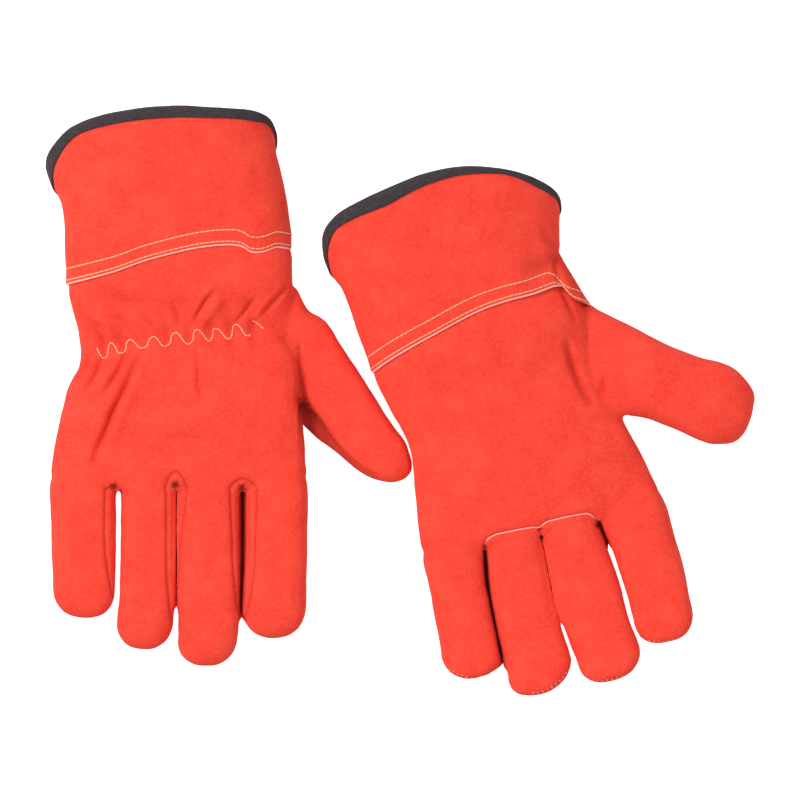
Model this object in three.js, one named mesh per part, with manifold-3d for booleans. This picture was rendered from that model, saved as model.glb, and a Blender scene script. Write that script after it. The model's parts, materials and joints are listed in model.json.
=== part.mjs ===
// A pair of welding gloves in split leather with a short safety cuff, lying side by side.
// The right-hand glove lies on its palm and the left-hand glove on its back.
// Millimetres, +Z up. Each glove is drawn with its fingers towards -Y and its thumb towards +X,
// from the line of its finger crotches, and both are then set down on the plane z = 0.

import * as THREE from 'three';
import { mergeVertices } from 'three/addons/utils/BufferGeometryUtils.js';
import Module from 'manifold-3d';

const wasm = await Module();
wasm.setup();

// Leather, cloth, tape and elastic
const leatherThickness = 1.4;
const fleeceThickness = 1.0;
const canvasThickness = 0.8;
const tapeThickness = 0.9;
const elasticThickness = 1.2;
const seamGap = 0.3;
const soleTrim = 0.5;

// Fingers, from the little finger to the index finger
const littleLength = 62;
const ringLength = 79;
const middleLength = 88;
const indexLength = 74;
const littleWidth = 30.5;
const ringWidth = 28.5;
const middleWidth = 30;
const indexWidth = 30.5;
const fingerHeight = 20;
const fingerGap = 1.3;
const fingertipLength = 15;
const fingertipTaper = 0.92;
const fingerRootShare = 0.75;
const fingerBendShare = 0.98;

// Fourchettes, the strips between the fingers, and the seam below the two middle fronts
const fourchetteHeightAtCrotch = 13;
const fourchetteHeightAtTip = 8;
const fourchetteTipMargin = 10;
const fourchetteWebDepth = 3;
const fourchetteInset = 0.12;
const fourchetteTipFlare = 0.22;
const frontSeamOffset = 6;

// Palm and wrist
const crotchWidthLoss = 18;
const crotchHeight = 17;
const webSetback = 4;
const webWidthLoss = 4;
const webHeight = 21;
const knuckleSetback = 12;
const knuckleHeight = 26;
const palmSetback = 34;
const palmWidth = 112;
const palmHeight = 33;
const elasticSetback = 68;
const waistWidth = 103;
const waistHeight = 30;
const waistShoulder = 7;
const waistShoulderWidth = 106;
const waistShoulderHeight = 32;
const wristSetback = 86;
const wristWidth = 107;
const wristHeight = 35;
const wristRun = 20;

// Elastic across the back of the wrist
const elasticLength = 78;
const elasticWidth = 8;
const elasticSlope = 0.13;

// Thumb
const thumbLength = 94;
const thumbRootWidth = 24;
const thumbRootHeight = 16;
const thumbFlarePlace = 0.06;
const thumbFlareWidth = 40;
const thumbFlareHeight = 21;
const thumbFlareShift = 8;
const thumbBasePlace = 0.34;
const thumbBaseWidth = 42;
const thumbMiddlePlace = 0.56;
const thumbWidth = 36.5;
const thumbHeight = 24;
const thumbTipWidth = 34;
const thumbTipHeight = 22;
const thumbTipLength = 17;
const thumbRootSetback = 69;
const thumbRootInset = 14.5;
const thumbSeamOffset = 3;

// Cuff
const cuffSetback = 113;
const cuffLength = 68;
const cuffOverlap = 14;
const cuffEdgeDip = 13;
const mouthWidth = 112;
const mouthHeight = 54;
const rimDip = 28;
const handToFlare = 4;
const flarePlace = 0.3;
const mouthPlace = 0.85;
const mouthPastRim = 1.3;
const bindingWidth = 6;

// How the left glove lies beside the right one: the clear width between them, and how much lower
const pairGap = 1.2;
const pairDrop = 21;

// How each glove lies. Slopes are in the plane, angles in degrees, sways in millimetres, reaches are
// the shares of the lengths that lie along the plane, and spread is how wide the palm lies.
const rightPose = {
  name: 'right',
  backUp: true,
  turn: 0,
  curl: 0,
  spread: 1,
  reach: [1, 1, 1, 1],
  splay: [1, 0, 0, -0.3],
  swayAtPalm: 1,
  swayAtWaist: 3.5,
  swayAtWrist: 0.5,
  swayAtMouth: -8.5,
  cuffTilt: 0.155,
  rimTilt: 0.1,
  thumbHeading: -35.5,
  thumbTipHeading: -58,
  thumbReach: 0.985,
  thumbRise: 5,
  thumbRoll: -35,
};
const leftPose = {
  name: 'left',
  backUp: false,
  turn: 14,
  curl: 24,
  spread: 0.965,
  reach: [1, 0.965, 0.905, 0.91],
  splay: [-6, -5.6, -3, -2.8],
  swayAtPalm: -2.5,
  swayAtWaist: -4,
  swayAtWrist: -12.5,
  swayAtMouth: -20,
  cuffTilt: 0.06,
  rimTilt: 0.02,
  thumbHeading: -38,
  thumbTipHeading: -25,
  thumbReach: 0.94,
  thumbRise: 9,
  thumbRoll: -4,
};

// Layers, counted inwards from the outer face of the leather
const liningOutside = leatherThickness + seamGap;
const liningInside = liningOutside + fleeceThickness;
const elasticInside = liningOutside + elasticThickness;
const elasticEase = elasticThickness + seamGap;
const cuffLiningInside = liningOutside + canvasThickness;
const cuffOverHand = leatherThickness + seamGap;
const tapeOutside = -(seamGap + tapeThickness);
const tapeInside = cuffLiningInside + seamGap + tapeThickness;

// The places of the four fingers across the hand
const fingers = [
  { length: littleLength, width: littleWidth },
  { length: ringLength, width: ringWidth },
  { length: middleLength, width: middleWidth },
  { length: indexLength, width: indexWidth },
];
const fingersWidth = littleWidth + ringWidth + middleWidth + indexWidth + 3 * fingerGap;
let across = -fingersWidth / 2;
for (const finger of fingers) {
  finger.middle = across + finger.width / 2;
  across += finger.width + fingerGap;
}

// Facets of each form, the squareness of the cross-sections and the rounding of a tip
const handSides = 16;
const fingerSides = 10;
const fingerSidesInside = 8;
const dipSteps = 3;
const dipPower = 1.4;
const sectionPower = 2.6;
const tipPower = 0.75;
const tipAngles = [0, 40, 68];
const far = 300;
const rowHeight = 2;

// The spaces that the back and the thumb's back take overlap by this much, so that they are one
const joinOverlap = 0.05;

const radians = THREE.MathUtils.degToRad;

// Solids from closed lists of points and faces
function solidFrom(geometry) {
  const bare = geometry.clone();
  bare.deleteAttribute('normal');
  bare.deleteAttribute('uv');
  const merged = mergeVertices(bare, 1e-5);
  return new wasm.Manifold(new wasm.Mesh({
    numProp: 3,
    vertProperties: new Float32Array(merged.attributes.position.array),
    triVerts: new Uint32Array(merged.index.array),
  }));
}

function geometryOf(solid) {
  const mesh = solid.getMesh();
  const geometry = new THREE.BufferGeometry();
  geometry.setAttribute('position', new THREE.BufferAttribute(mesh.vertProperties, 3));
  geometry.setIndex(new THREE.BufferAttribute(mesh.triVerts, 1));
  geometry.computeVertexNormals();
  return geometry;
}

function joined(solids) {
  return solids.reduce((all, solid) => all.add(solid));
}

// A tube through rings of points, closed at both ends
function loft(rings, startPoint, endPoint) {
  const sides = rings[0].length;
  const positions = [...rings.flat(), startPoint, endPoint].flatMap((point) => point.toArray());
  const start = rings.length * sides;
  const end = start + 1;
  const faces = [];
  for (let i = 0; i < rings.length - 1; i += 1) {
    for (let j = 0; j < sides; j += 1) {
      const here = i * sides + j;
      const next = i * sides + ((j + 1) % sides);
      faces.push(here, next, next + sides, here, next + sides, here + sides);
    }
  }
  const last = (rings.length - 1) * sides;
  for (let j = 0; j < sides; j += 1) {
    const next = (j + 1) % sides;
    faces.push(start, next, j, end, last + j, last + next);
  }
  const geometry = new THREE.BufferGeometry();
  geometry.setAttribute('position', new THREE.Float32BufferAttribute(positions, 3));
  geometry.setIndex(faces);
  return solidFrom(geometry);
}

// The directions of a cross-section, from its heading in the plane and its roll about it
function axesOf(section) {
  const along = new THREE.Vector3(Math.cos(radians(section.heading)), Math.sin(radians(section.heading)), 0);
  const side = new THREE.Vector3(-along.y, along.x, 0);
  const up = new THREE.Vector3(0, 0, 1);
  const cos = Math.cos(radians(section.roll));
  const sin = Math.sin(radians(section.roll));
  const width = side.clone().multiplyScalar(cos).addScaledVector(up, sin);
  const height = up.clone().multiplyScalar(cos).addScaledVector(side, -sin);
  return { along, width, height };
}

function placed(section, w, h) {
  const axes = axesOf(section);
  return section.centre.clone().addScaledVector(axes.width, w).addScaledVector(axes.height, h);
}

// A rounded cross-section at one depth in the layers, drawn in by its share near a tip
function ringOf(section, sides, depth) {
  const halfWidth = (section.width / 2 - depth) * section.share;
  const halfHeight = (section.height / 2 - depth) * section.share;
  return Array.from({ length: sides }, (_, j) => {
    const angle = ((j + 0.5) * 2 * Math.PI) / sides - Math.PI / 2;
    const w = Math.sign(Math.cos(angle)) * Math.abs(Math.cos(angle)) ** (2 / sectionPower);
    const h = Math.sign(Math.sin(angle)) * Math.abs(Math.sin(angle)) ** (2 / sectionPower);
    return placed(section, w * halfWidth, h * halfHeight);
  });
}

function tubeThrough(sections, sides, depth, endPoint) {
  const rings = sections.map((section) => ringOf(section, sides, depth + section.ease));
  return loft(rings, sections[0].centre, endPoint);
}

// A flat outline raised into an upright block through the whole glove
function uprightBlock(outline) {
  const shape = new THREE.Shape(outline.map(([x, y]) => new THREE.Vector2(x, y)));
  const geometry = new THREE.ExtrudeGeometry(shape, { depth: far, bevelEnabled: false, steps: 1 });
  geometry.translate(0, 0, -far / 2);
  return solidFrom(geometry);
}

// What lies above the plane that the gloves rest on
function aboveTable(solid) {
  const below = new THREE.BoxGeometry(2 * far, 2 * far, far);
  below.translate(0, 0, -far / 2);
  return solid.subtract(solidFrom(below));
}

// A value between the two stations on each side of a place along the glove
function between(stations, y, key) {
  const next = stations.findIndex((station) => station.y >= y);
  if (next < 0) {
    return stations[stations.length - 1][key];
  }
  if (next === 0) {
    return stations[0][key];
  }
  const before = stations[next - 1];
  const after = stations[next];
  return THREE.MathUtils.lerp(before[key], after[key], (y - before.y) / (after.y - before.y));
}

// The hand, station by station from the finger crotches to inside the cuff
function handStations(pose) {
  const elasticHalf = (elasticWidth + elasticSlope * elasticLength) / 2 + seamGap;
  const waist = { width: waistWidth, height: waistHeight, x: pose.swayAtWaist };
  const shoulder = { width: waistShoulderWidth, height: waistShoulderHeight, x: pose.swayAtWaist };
  const wrist = { width: wristWidth, height: wristHeight, x: pose.swayAtWrist, inCuff: true };
  const across = (width) => width * pose.spread;
  const stations = [
    { y: 0, width: across(fingersWidth - crotchWidthLoss), height: crotchHeight, x: 0, front: 1 },
    { y: webSetback, width: across(fingersWidth - webWidthLoss), height: webHeight, x: 0, front: 0.6 },
    { y: knuckleSetback, width: across(fingersWidth), height: knuckleHeight, x: 0 },
    { y: palmSetback, width: across(palmWidth), height: palmHeight, x: pose.swayAtPalm },
    { ...shoulder, y: elasticSetback - elasticHalf - waistShoulder },
    { ...waist, y: elasticSetback - elasticHalf, gathered: true },
    { ...waist, y: elasticSetback + elasticHalf, gathered: true },
    { ...wrist, y: wristSetback },
    { ...wrist, y: cuffSetback + cuffOverlap + wristRun },
  ];
  for (const station of stations) {
    const height = Math.max(station.height, fingerHeight);
    station.z = height / 2 - soleTrim + (station.inCuff ? cuffOverHand : 0);
  }
  return stations;
}

function handSections(stations, depth, ease) {
  return stations.map((station) => ({
    centre: new THREE.Vector3(station.x, station.y + (station.front ?? 0) * depth, station.z),
    heading: 90,
    roll: 0,
    width: station.width,
    height: station.height,
    share: 1,
    ease: station.gathered ? ease : 0,
  }));
}

function handTube(stations, depth, ease) {
  const sections = handSections(stations, depth, ease);
  return tubeThrough(sections, handSides, depth, sections[sections.length - 1].centre);
}

// The height of the side seam, which runs at half height from the cuff to the fingertips
function seamHeight(pose, stations, y) {
  const beyondCrotch = Math.min(y, 0) / middleLength;
  return between(stations, Math.max(y, 0), 'z') + pose.curl * beyondCrotch ** 2;
}

function sidesAt(depth) {
  return depth > 0 ? fingerSidesInside : fingerSides;
}

// One finger: a tube that starts inside the palm and closes in a rounded tip
function fingerTube(pose, stations, index, depth) {
  const finger = fingers[index];
  const length = finger.length * pose.reach[index];
  const heading = -90 + pose.splay[index];
  const sectionAt = (along, share) => {
    const x = finger.middle * pose.spread + along * Math.cos(radians(heading));
    const y = along * Math.sin(radians(heading));
    const centre = new THREE.Vector3(x, y, seamHeight(pose, stations, y));
    return { centre, heading, roll: 0, width: finger.width, height: fingerHeight, share, ease: 0 };
  };
  const capStart = length - fingertipLength;
  const bent = pose.curl === 0 ? [] : [sectionAt(capStart / 2, fingerBendShare)];
  const sections = [sectionAt(-knuckleSetback, fingerRootShare), sectionAt(0, 1), ...bent];
  for (const degrees of tipAngles) {
    const along = capStart + (fingertipLength - depth) * Math.sin(radians(degrees));
    sections.push(sectionAt(along, fingertipTaper * Math.cos(radians(degrees)) ** tipPower));
  }
  return tubeThrough(sections, sidesAt(depth), depth, sectionAt(length - depth, 1).centre);
}

// The thumb's middle line is an arc from inside the palm. It lies on the table or on its side.
function thumbSections(pose, stations, depth) {
  const length = thumbLength * pose.thumbReach;
  const rootSetback = thumbRootSetback + pose.thumbRise;
  const rootSide = between(stations, rootSetback, 'x') + between(stations, rootSetback, 'width') / 2;
  const turn = radians(pose.thumbTipHeading - pose.thumbHeading);
  const sectionAt = (along, width, height, share) => {
    const heading = THREE.MathUtils.lerp(pose.thumbHeading, pose.thumbTipHeading, along / length);
    const arcX = (Math.sin(radians(heading)) - Math.sin(radians(pose.thumbHeading))) * (length / turn);
    const arcY = (Math.cos(radians(pose.thumbHeading)) - Math.cos(radians(heading))) * (length / turn);
    const centre = new THREE.Vector3(rootSide - thumbRootInset + arcX, rootSetback + arcY, 0);
    const roll = pose.thumbRoll * Math.min(1, (2 * along) / length);
    const section = { centre, heading, roll, width, height, share: 1, ease: 0 };
    const lowest = Math.min(...ringOf(section, fingerSides, 0).map((point) => point.z));
    section.centre.z = -lowest - soleTrim;
    section.share = share;
    return section;
  };
  const capStart = length - thumbTipLength;
  const root = sectionAt(0, thumbRootWidth, thumbRootHeight, 1);
  root.centre.z = between(stations, rootSetback, 'z');
  const flare = sectionAt(thumbFlarePlace * length, thumbFlareWidth, thumbFlareHeight, 1);
  flare.centre.addScaledVector(axesOf({ ...flare, roll: 0 }).width, thumbFlareShift);
  flare.centre.z = root.centre.z;
  const sections = [
    root,
    flare,
    sectionAt(thumbBasePlace * length, thumbBaseWidth, thumbHeight, 1),
    sectionAt(thumbMiddlePlace * length, thumbWidth, thumbHeight, 1),
  ];
  for (const degrees of tipAngles) {
    const along = capStart + (thumbTipLength - depth) * Math.sin(radians(degrees));
    sections.push(sectionAt(along, thumbTipWidth, thumbTipHeight, Math.cos(radians(degrees)) ** tipPower));
  }
  sections.push(sectionAt(length - depth, thumbTipWidth, thumbTipHeight, 0));
  return sections;
}

function thumbTube(pose, stations, depth) {
  const sections = thumbSections(pose, stations, depth);
  const tip = sections.pop().centre;
  return tubeThrough(sections, sidesAt(depth), depth, tip);
}

// The space on one side of a seam surface that runs through the middles of the sections.
// side is 1 above the seam and -1 below it, and low and high are distances from the seam.
function besideSeam(sections, reach, side, low, high = () => far / 2) {
  const rings = sections.map((section) => {
    const from = Math.min(side * low(section), side * high(section));
    const to = Math.max(side * low(section), side * high(section));
    const corners = [[reach, to], [0, to], [-reach, to], [-reach, from], [0, from], [reach, from]];
    return corners.map(([w, h]) => placed(section, w, h));
  });
  const middleOf = (ring) => ring[1].clone().add(ring[4]).multiplyScalar(0.5);
  return loft(rings, middleOf(rings[0]), middleOf(rings[rings.length - 1]));
}

// Places along the side seam of the hand and fingers, past both ends of the glove
function seamSections(pose, stations) {
  const shares = [-1.3, -1, -0.8, -0.6, -0.4, -0.2, -0.02];
  const fingerPlaces = shares.map((share) => share * middleLength);
  const handPlaces = stations.filter((station) => station.y > 0).map((station) => station.y);
  return [...fingerPlaces, ...handPlaces, 2 * cuffSetback].map((y) => ({
    centre: new THREE.Vector3(0, y, seamHeight(pose, stations, y)),
    heading: 90,
    roll: 0,
  }));
}

// The space before or after an edge that goes round the cuff. Seen from the side, the edge dips
// towards the side seams. Seen from above, it is tilted across the glove.
function roundEdge(section, setback, dip, tilt, side) {
  const profile = Array.from({ length: 2 * dipSteps + 1 }, (_, i) => {
    const h = i / dipSteps - 1;
    return [setback - dip * (1 - h ** 2) ** dipPower, section.centre.z + (h * section.height) / 2];
  });
  const [low, high] = [section.centre.z - far, section.centre.z + far];
  profile.unshift([setback, low]);
  profile.push([setback, high]);
  const before = [...profile, [-far, high], [-far, low]];
  const after = [...profile.slice().reverse(), [far, low], [far, high]];
  const outline = side < 0 ? before : after;
  const at = (x, y, z) => new THREE.Vector3(x, y + tilt * (x - section.centre.x), z);
  const rings = [-far, far].map((x) => outline.map(([y, z]) => at(x, y, z)));
  const middle = (side * far) / 2;
  return loft(rings, at(-far, middle, section.centre.z), at(far, middle, section.centre.z));
}

function cuffEdge(pose, offset, side) {
  const wrist = cuffSections(pose)[1];
  return roundEdge(wrist, cuffSetback + offset, cuffEdgeDip, pose.cuffTilt, side);
}

function cuffRim(pose, offset, side) {
  const mouth = cuffSections(pose)[3];
  return roundEdge(mouth, cuffSetback + cuffLength + offset, rimDip, pose.rimTilt, side);
}

// The block outside the palm's thumb side, where the thumb has its own panels
function thumbBlock(stations, offset) {
  const places = stations.filter((station) => station.y >= knuckleSetback);
  const line = places.map((station) => [station.x + station.width / 2 + thumbSeamOffset + offset, station.y]);
  const last = line[line.length - 1];
  return uprightBlock([[line[0][0], -far], ...line, [last[0], far], [far, far], [far, -far]].reverse());
}

// The block of one fourchette, from the middle of one finger to the middle of the next
function fourchetteBlock(pose, index, margin) {
  const edgeOf = (i, side) => {
    const finger = fingers[i];
    const length = finger.length * pose.reach[i];
    const slope = Math.tan(radians(pose.splay[i]));
    const at = (shift, y) => [finger.middle * pose.spread - slope * y + shift, y];
    const end = -(length - fourchetteTipMargin + margin);
    return [
      at(side * (finger.width * fourchetteInset - margin), fourchetteWebDepth + margin),
      at(side * (finger.width * fourchetteInset - margin), end + finger.width * fourchetteInset),
      at(side * (finger.width / 2 + fingerGap / 4), end - finger.width * fourchetteTipFlare),
    ];
  };
  const left = edgeOf(index, 1);
  const right = edgeOf(index + 1, -1);
  return uprightBlock([left[0], left[1], left[2], right[2], right[1], right[0]]);
}

// The part of the space at mid height that the fourchettes take, lower towards the tips
function fourchetteBand(pose, stations, margin) {
  const half = (section) => {
    const share = THREE.MathUtils.clamp(-section.centre.y / middleLength, 0, 1);
    return THREE.MathUtils.lerp(fourchetteHeightAtCrotch, fourchetteHeightAtTip, share) / 2 + margin;
  };
  return besideSeam(seamSections(pose, stations), far, 1, (section) => -half(section), half);
}

// The block over one of the two middle fingers, up to the seam of its front
function frontBlock(pose, index, margin) {
  const middleBetween = (i, y) => {
    const [left, right] = [fingers[i], fingers[i + 1]];
    const leftEdge = left.middle * pose.spread - Math.tan(radians(pose.splay[i])) * y + left.width / 2;
    const rightEdge = right.middle * pose.spread - Math.tan(radians(pose.splay[i + 1])) * y - right.width / 2;
    return (leftEdge + rightEdge) / 2;
  };
  const top = frontSeamOffset - margin;
  const bottom = -1.2 * middleLength;
  return uprightBlock([
    [middleBetween(index - 1, 0) + margin, top],
    [middleBetween(index - 1, bottom) + margin, bottom],
    [middleBetween(index, bottom) - margin, bottom],
    [middleBetween(index, 0) - margin, top],
  ]);
}

// The cuff, station by station, over the wrist end of the hand and out to the mouth
function cuffSections(pose) {
  const over = 2 * cuffOverHand;
  const handEnd = cuffSetback + cuffOverlap + handToFlare;
  const tapeLift = seamGap + tapeThickness;
  const wrist = { width: wristWidth + over, height: wristHeight + over, x: pose.swayAtWrist, lift: 0 };
  const mouth = { width: mouthWidth, height: mouthHeight, x: pose.swayAtMouth, lift: tapeLift };
  const middle = { width: (wrist.width + mouthWidth) / 2, height: (wrist.height + mouthHeight) / 2 };
  return [
    { ...wrist, y: wristSetback },
    { ...wrist, y: handEnd },
    { ...middle, y: handEnd + cuffLength * flarePlace, x: (pose.swayAtWrist + pose.swayAtMouth) / 2, lift: tapeLift },
    { ...mouth, y: cuffSetback + cuffLength * mouthPlace },
    { ...mouth, y: cuffSetback + cuffLength * mouthPastRim },
  ].map((station) => ({
    centre: new THREE.Vector3(station.x, station.y, station.height / 2 - soleTrim + station.lift),
    heading: 90,
    roll: 0,
    width: station.width,
    height: station.height,
    share: 1,
    ease: 0,
  }));
}

function cuffTube(pose, depth) {
  const sections = cuffSections(pose);
  return tubeThrough(sections, handSides, depth, sections[sections.length - 1].centre);
}

// The finishes
const leather = { color: 0xf2452f, roughness: 0.95, metalness: 0 };
const lining = { color: 0xe9e4d8, roughness: 1, metalness: 0 };
const tape = { color: 0x2f2c2e, roughness: 0.85, metalness: 0 };

function addPiece(group, name, solid, finish) {
  const mesh = new THREE.Mesh(geometryOf(aboveTable(solid)), new THREE.MeshStandardMaterial(finish));
  mesh.name = name;
  group.add(mesh);
}

// One glove, made of leather panels, linings, the elastic and the cuff's binding
function makeGlove(pose) {
  const glove = new THREE.Group();
  const add = (name, solid, finish) => addPiece(glove, `${pose.name}_${name}`, solid, finish);
  const stations = handStations(pose);
  const seam = seamSections(pose, stations);
  const thumbSeam = thumbSections(pose, stations, 0);
  const backSide = pose.backUp ? 1 : -1;
  const halfGap = seamGap / 2;

  // The hand as a solid at one depth in its layers
  const handAt = (depth, ease) => joined([
    handTube(stations, depth, ease),
    thumbTube(pose, stations, depth),
    ...fingers.map((_, index) => fingerTube(pose, stations, index, depth)),
  ]);
  const insideCuff = cuffEdge(pose, cuffOverlap, -1);
  const shell = handAt(0, 0).subtract(handAt(leatherThickness, 0)).intersect(insideCuff);

  // The space on the back side of a seam, for the panels there, and that space with the seam's gap,
  // which the panels on the palm side are cut by
  const backHalf = besideSeam(seam, far, backSide, () => halfGap);
  const backHalfWithGap = besideSeam(seam, far, backSide, () => -halfGap);
  const thumbBackHalf = besideSeam(thumbSeam, thumbWidth, backSide, () => halfGap);
  const thumbBackHalfWithGap = besideSeam(thumbSeam, thumbWidth, backSide, () => -halfGap);

  // Fourchettes
  const pairs = ['little_ring', 'ring_middle', 'middle_index'];
  const band = fourchetteBand(pose, stations, 0);
  const widerBand = fourchetteBand(pose, stations, seamGap);
  const strips = pairs.map((_, index) => fourchetteBlock(pose, index, 0).intersect(band));
  const stripSpace = joined(pairs.map((_, index) => fourchetteBlock(pose, index, seamGap).intersect(widerBand)));
  pairs.forEach((pair, index) => add(`fourchette_${pair}`, shell.intersect(strips[index]), leather));

  // Back, palm with its thumb front, the two middle fronts and the back of the thumb
  const besideThumb = shell.subtract(thumbBlock(stations, -seamGap));
  add('back', besideThumb.intersect(backHalf).subtract(stripSpace), leather);
  const fronts = joined([frontBlock(pose, 1, -halfGap), frontBlock(pose, 2, -halfGap)]);
  const backSpace = backHalfWithGap.subtract(thumbBlock(stations, 0))
    .add(thumbBackHalfWithGap.intersect(thumbBlock(stations, -joinOverlap)));
  add('palm', shell.subtract(backSpace).subtract(stripSpace).subtract(fronts), leather);
  ['ring_front', 'middle_front'].forEach((name, index) => {
    const front = shell.intersect(frontBlock(pose, index + 1, halfGap)).subtract(backHalfWithGap);
    add(name, front.subtract(stripSpace), leather);
  });
  add('thumb_back', shell.intersect(thumbBlock(stations, seamGap)).intersect(thumbBackHalf), leather);

  // Fleece lining of the hand, and the elastic between it and the back
  const fleece = handAt(liningOutside, elasticEase).subtract(handAt(liningInside, elasticEase));
  add('hand_lining', fleece.intersect(insideCuff), lining);
  const elasticLayer = handTube(stations, liningOutside, 0).subtract(handTube(stations, elasticInside, 0));
  const elasticMiddle = between(stations, elasticSetback, 'x');
  const elasticRun = [-1, 1].map((side) => [elasticMiddle + (side * elasticLength) / 2,
    elasticSetback + (side * elasticSlope * elasticLength) / 2]);
  const elasticBlock = uprightBlock([
    [elasticRun[0][0], elasticRun[0][1] - elasticWidth / 2],
    [elasticRun[1][0], elasticRun[1][1] - elasticWidth / 2],
    [elasticRun[1][0], elasticRun[1][1] + elasticWidth / 2],
    [elasticRun[0][0], elasticRun[0][1] + elasticWidth / 2],
  ]);
  add('wrist_elastic', elasticLayer.intersect(elasticBlock).intersect(backHalf), lining);

  // Cuff, in two panels sewn over the hand, with its canvas lining and its binding
  const fromEdge = cuffEdge(pose, 0, 1);
  const toRim = cuffRim(pose, 0, -1);
  const cuffLeather = cuffTube(pose, 0).subtract(cuffTube(pose, leatherThickness));
  const cuffPanels = cuffLeather.intersect(fromEdge).intersect(toRim);
  const cuffSeam = cuffSections(pose);
  add('cuff_back', cuffPanels.intersect(besideSeam(cuffSeam, far, backSide, () => halfGap)), leather);
  add('cuff_palm', cuffPanels.subtract(besideSeam(cuffSeam, far, backSide, () => -halfGap)), leather);
  const canvas = cuffTube(pose, liningOutside).subtract(cuffTube(pose, cuffLiningInside));
  const pastHand = cuffEdge(pose, cuffOverlap + seamGap, 1);
  add('cuff_lining', canvas.intersect(pastHand).intersect(toRim), lining);
  const fold = cuffTube(pose, tapeOutside).subtract(cuffTube(pose, tapeInside))
    .intersect(cuffRim(pose, -bindingWidth, 1))
    .intersect(cuffRim(pose, seamGap + tapeThickness, -1));
  const slot = cuffTube(pose, -seamGap).subtract(cuffTube(pose, cuffLiningInside + seamGap))
    .intersect(cuffRim(pose, seamGap, -1));
  add('cuff_binding', fold.subtract(slot), tape);
  return glove;
}

const pair = new THREE.Group();
const right = makeGlove(rightPose);
const left = makeGlove(leftPose);
left.rotation.z = radians(leftPose.turn);
left.position.y = -pairDrop;
pair.add(right, left);

// How far a glove reaches to one side, row by row along Y
function reachByRow(glove, side) {
  const rows = new Map();
  glove.updateMatrixWorld(true);
  for (const mesh of glove.children) {
    const corners = mesh.geometry.attributes.position;
    const at = (i) => new THREE.Vector3().fromBufferAttribute(corners, i).applyMatrix4(mesh.matrixWorld);
    const index = mesh.geometry.index.array;
    for (let i = 0; i < index.length; i += 1) {
      const from = at(index[i]);
      const to = at(index[i % 3 === 2 ? i - 2 : i + 1]);
      const steps = Math.ceil((2 * Math.abs(to.y - from.y)) / rowHeight) + 1;
      for (let step = 0; step <= steps; step += 1) {
        const point = from.clone().lerp(to, step / steps);
        const row = Math.round(point.y / rowHeight);
        rows.set(row, Math.max(rows.get(row) ?? -far, side * point.x));
      }
    }
  }
  return rows;
}

// The left glove is moved along until its clear width to the right one is the pair's gap
const rightReach = reachByRow(right, 1);
const leftReach = reachByRow(left, -1);
const widths = [...rightReach].filter(([row]) => leftReach.has(row)).map(([row, reach]) => reach + leftReach.get(row));
left.position.x = Math.max(...widths) + pairGap;

// The origin is at the middle of the pair, on the table
pair.updateMatrixWorld(true);
const box = new THREE.Box3().setFromObject(pair, true);
const middle = box.getCenter(new THREE.Vector3());
pair.position.set(-middle.x, -middle.y, 0);

export default pair;
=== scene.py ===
# A pair of split-leather welding gloves, laid out with one back and one palm up.
# Each glove is sewn from panels that are cut from one smooth surface along its seam lines.

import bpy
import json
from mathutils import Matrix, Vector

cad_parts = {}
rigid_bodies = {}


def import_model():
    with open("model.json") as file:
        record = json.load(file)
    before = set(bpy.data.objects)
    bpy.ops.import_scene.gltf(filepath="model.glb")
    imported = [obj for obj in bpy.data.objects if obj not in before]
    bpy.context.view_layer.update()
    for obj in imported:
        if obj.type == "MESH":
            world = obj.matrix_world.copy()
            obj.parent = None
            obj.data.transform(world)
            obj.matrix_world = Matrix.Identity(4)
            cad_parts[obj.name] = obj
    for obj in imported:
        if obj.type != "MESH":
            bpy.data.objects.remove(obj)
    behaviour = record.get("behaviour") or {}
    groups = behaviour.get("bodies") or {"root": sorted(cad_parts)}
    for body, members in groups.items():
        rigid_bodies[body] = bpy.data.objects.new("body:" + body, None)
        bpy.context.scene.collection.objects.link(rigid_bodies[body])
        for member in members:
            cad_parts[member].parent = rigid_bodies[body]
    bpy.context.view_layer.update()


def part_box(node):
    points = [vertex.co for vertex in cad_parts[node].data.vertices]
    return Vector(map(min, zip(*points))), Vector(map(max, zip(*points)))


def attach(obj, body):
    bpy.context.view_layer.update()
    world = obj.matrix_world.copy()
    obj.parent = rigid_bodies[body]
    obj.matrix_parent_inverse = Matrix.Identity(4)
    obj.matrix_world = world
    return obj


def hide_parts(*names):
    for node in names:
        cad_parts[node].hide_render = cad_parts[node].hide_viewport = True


bl_info = {
    "name": "Welding gloves",
    "version": (1, 0, 0),
    "blender": (4, 5, 0),
    "location": "3D View > Sidebar > Gloves",
    "description": "A pair of suede welding gloves with bound, double-stitched cuffs",
    "category": "Object",
}

import json
import math

import bmesh
import bpy
import numpy as np
from mathutils import Matrix, Vector, noise
from mathutils.bvhtree import BVHTree
from mathutils.kdtree import KDTree

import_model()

# A millimetre in metres, then the photograph's scale in millimetres to a pixel and its middle pixel
MM = 0.001
PHOTO_MM = 0.48
PHOTO_MIDDLE = 400.0


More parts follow.
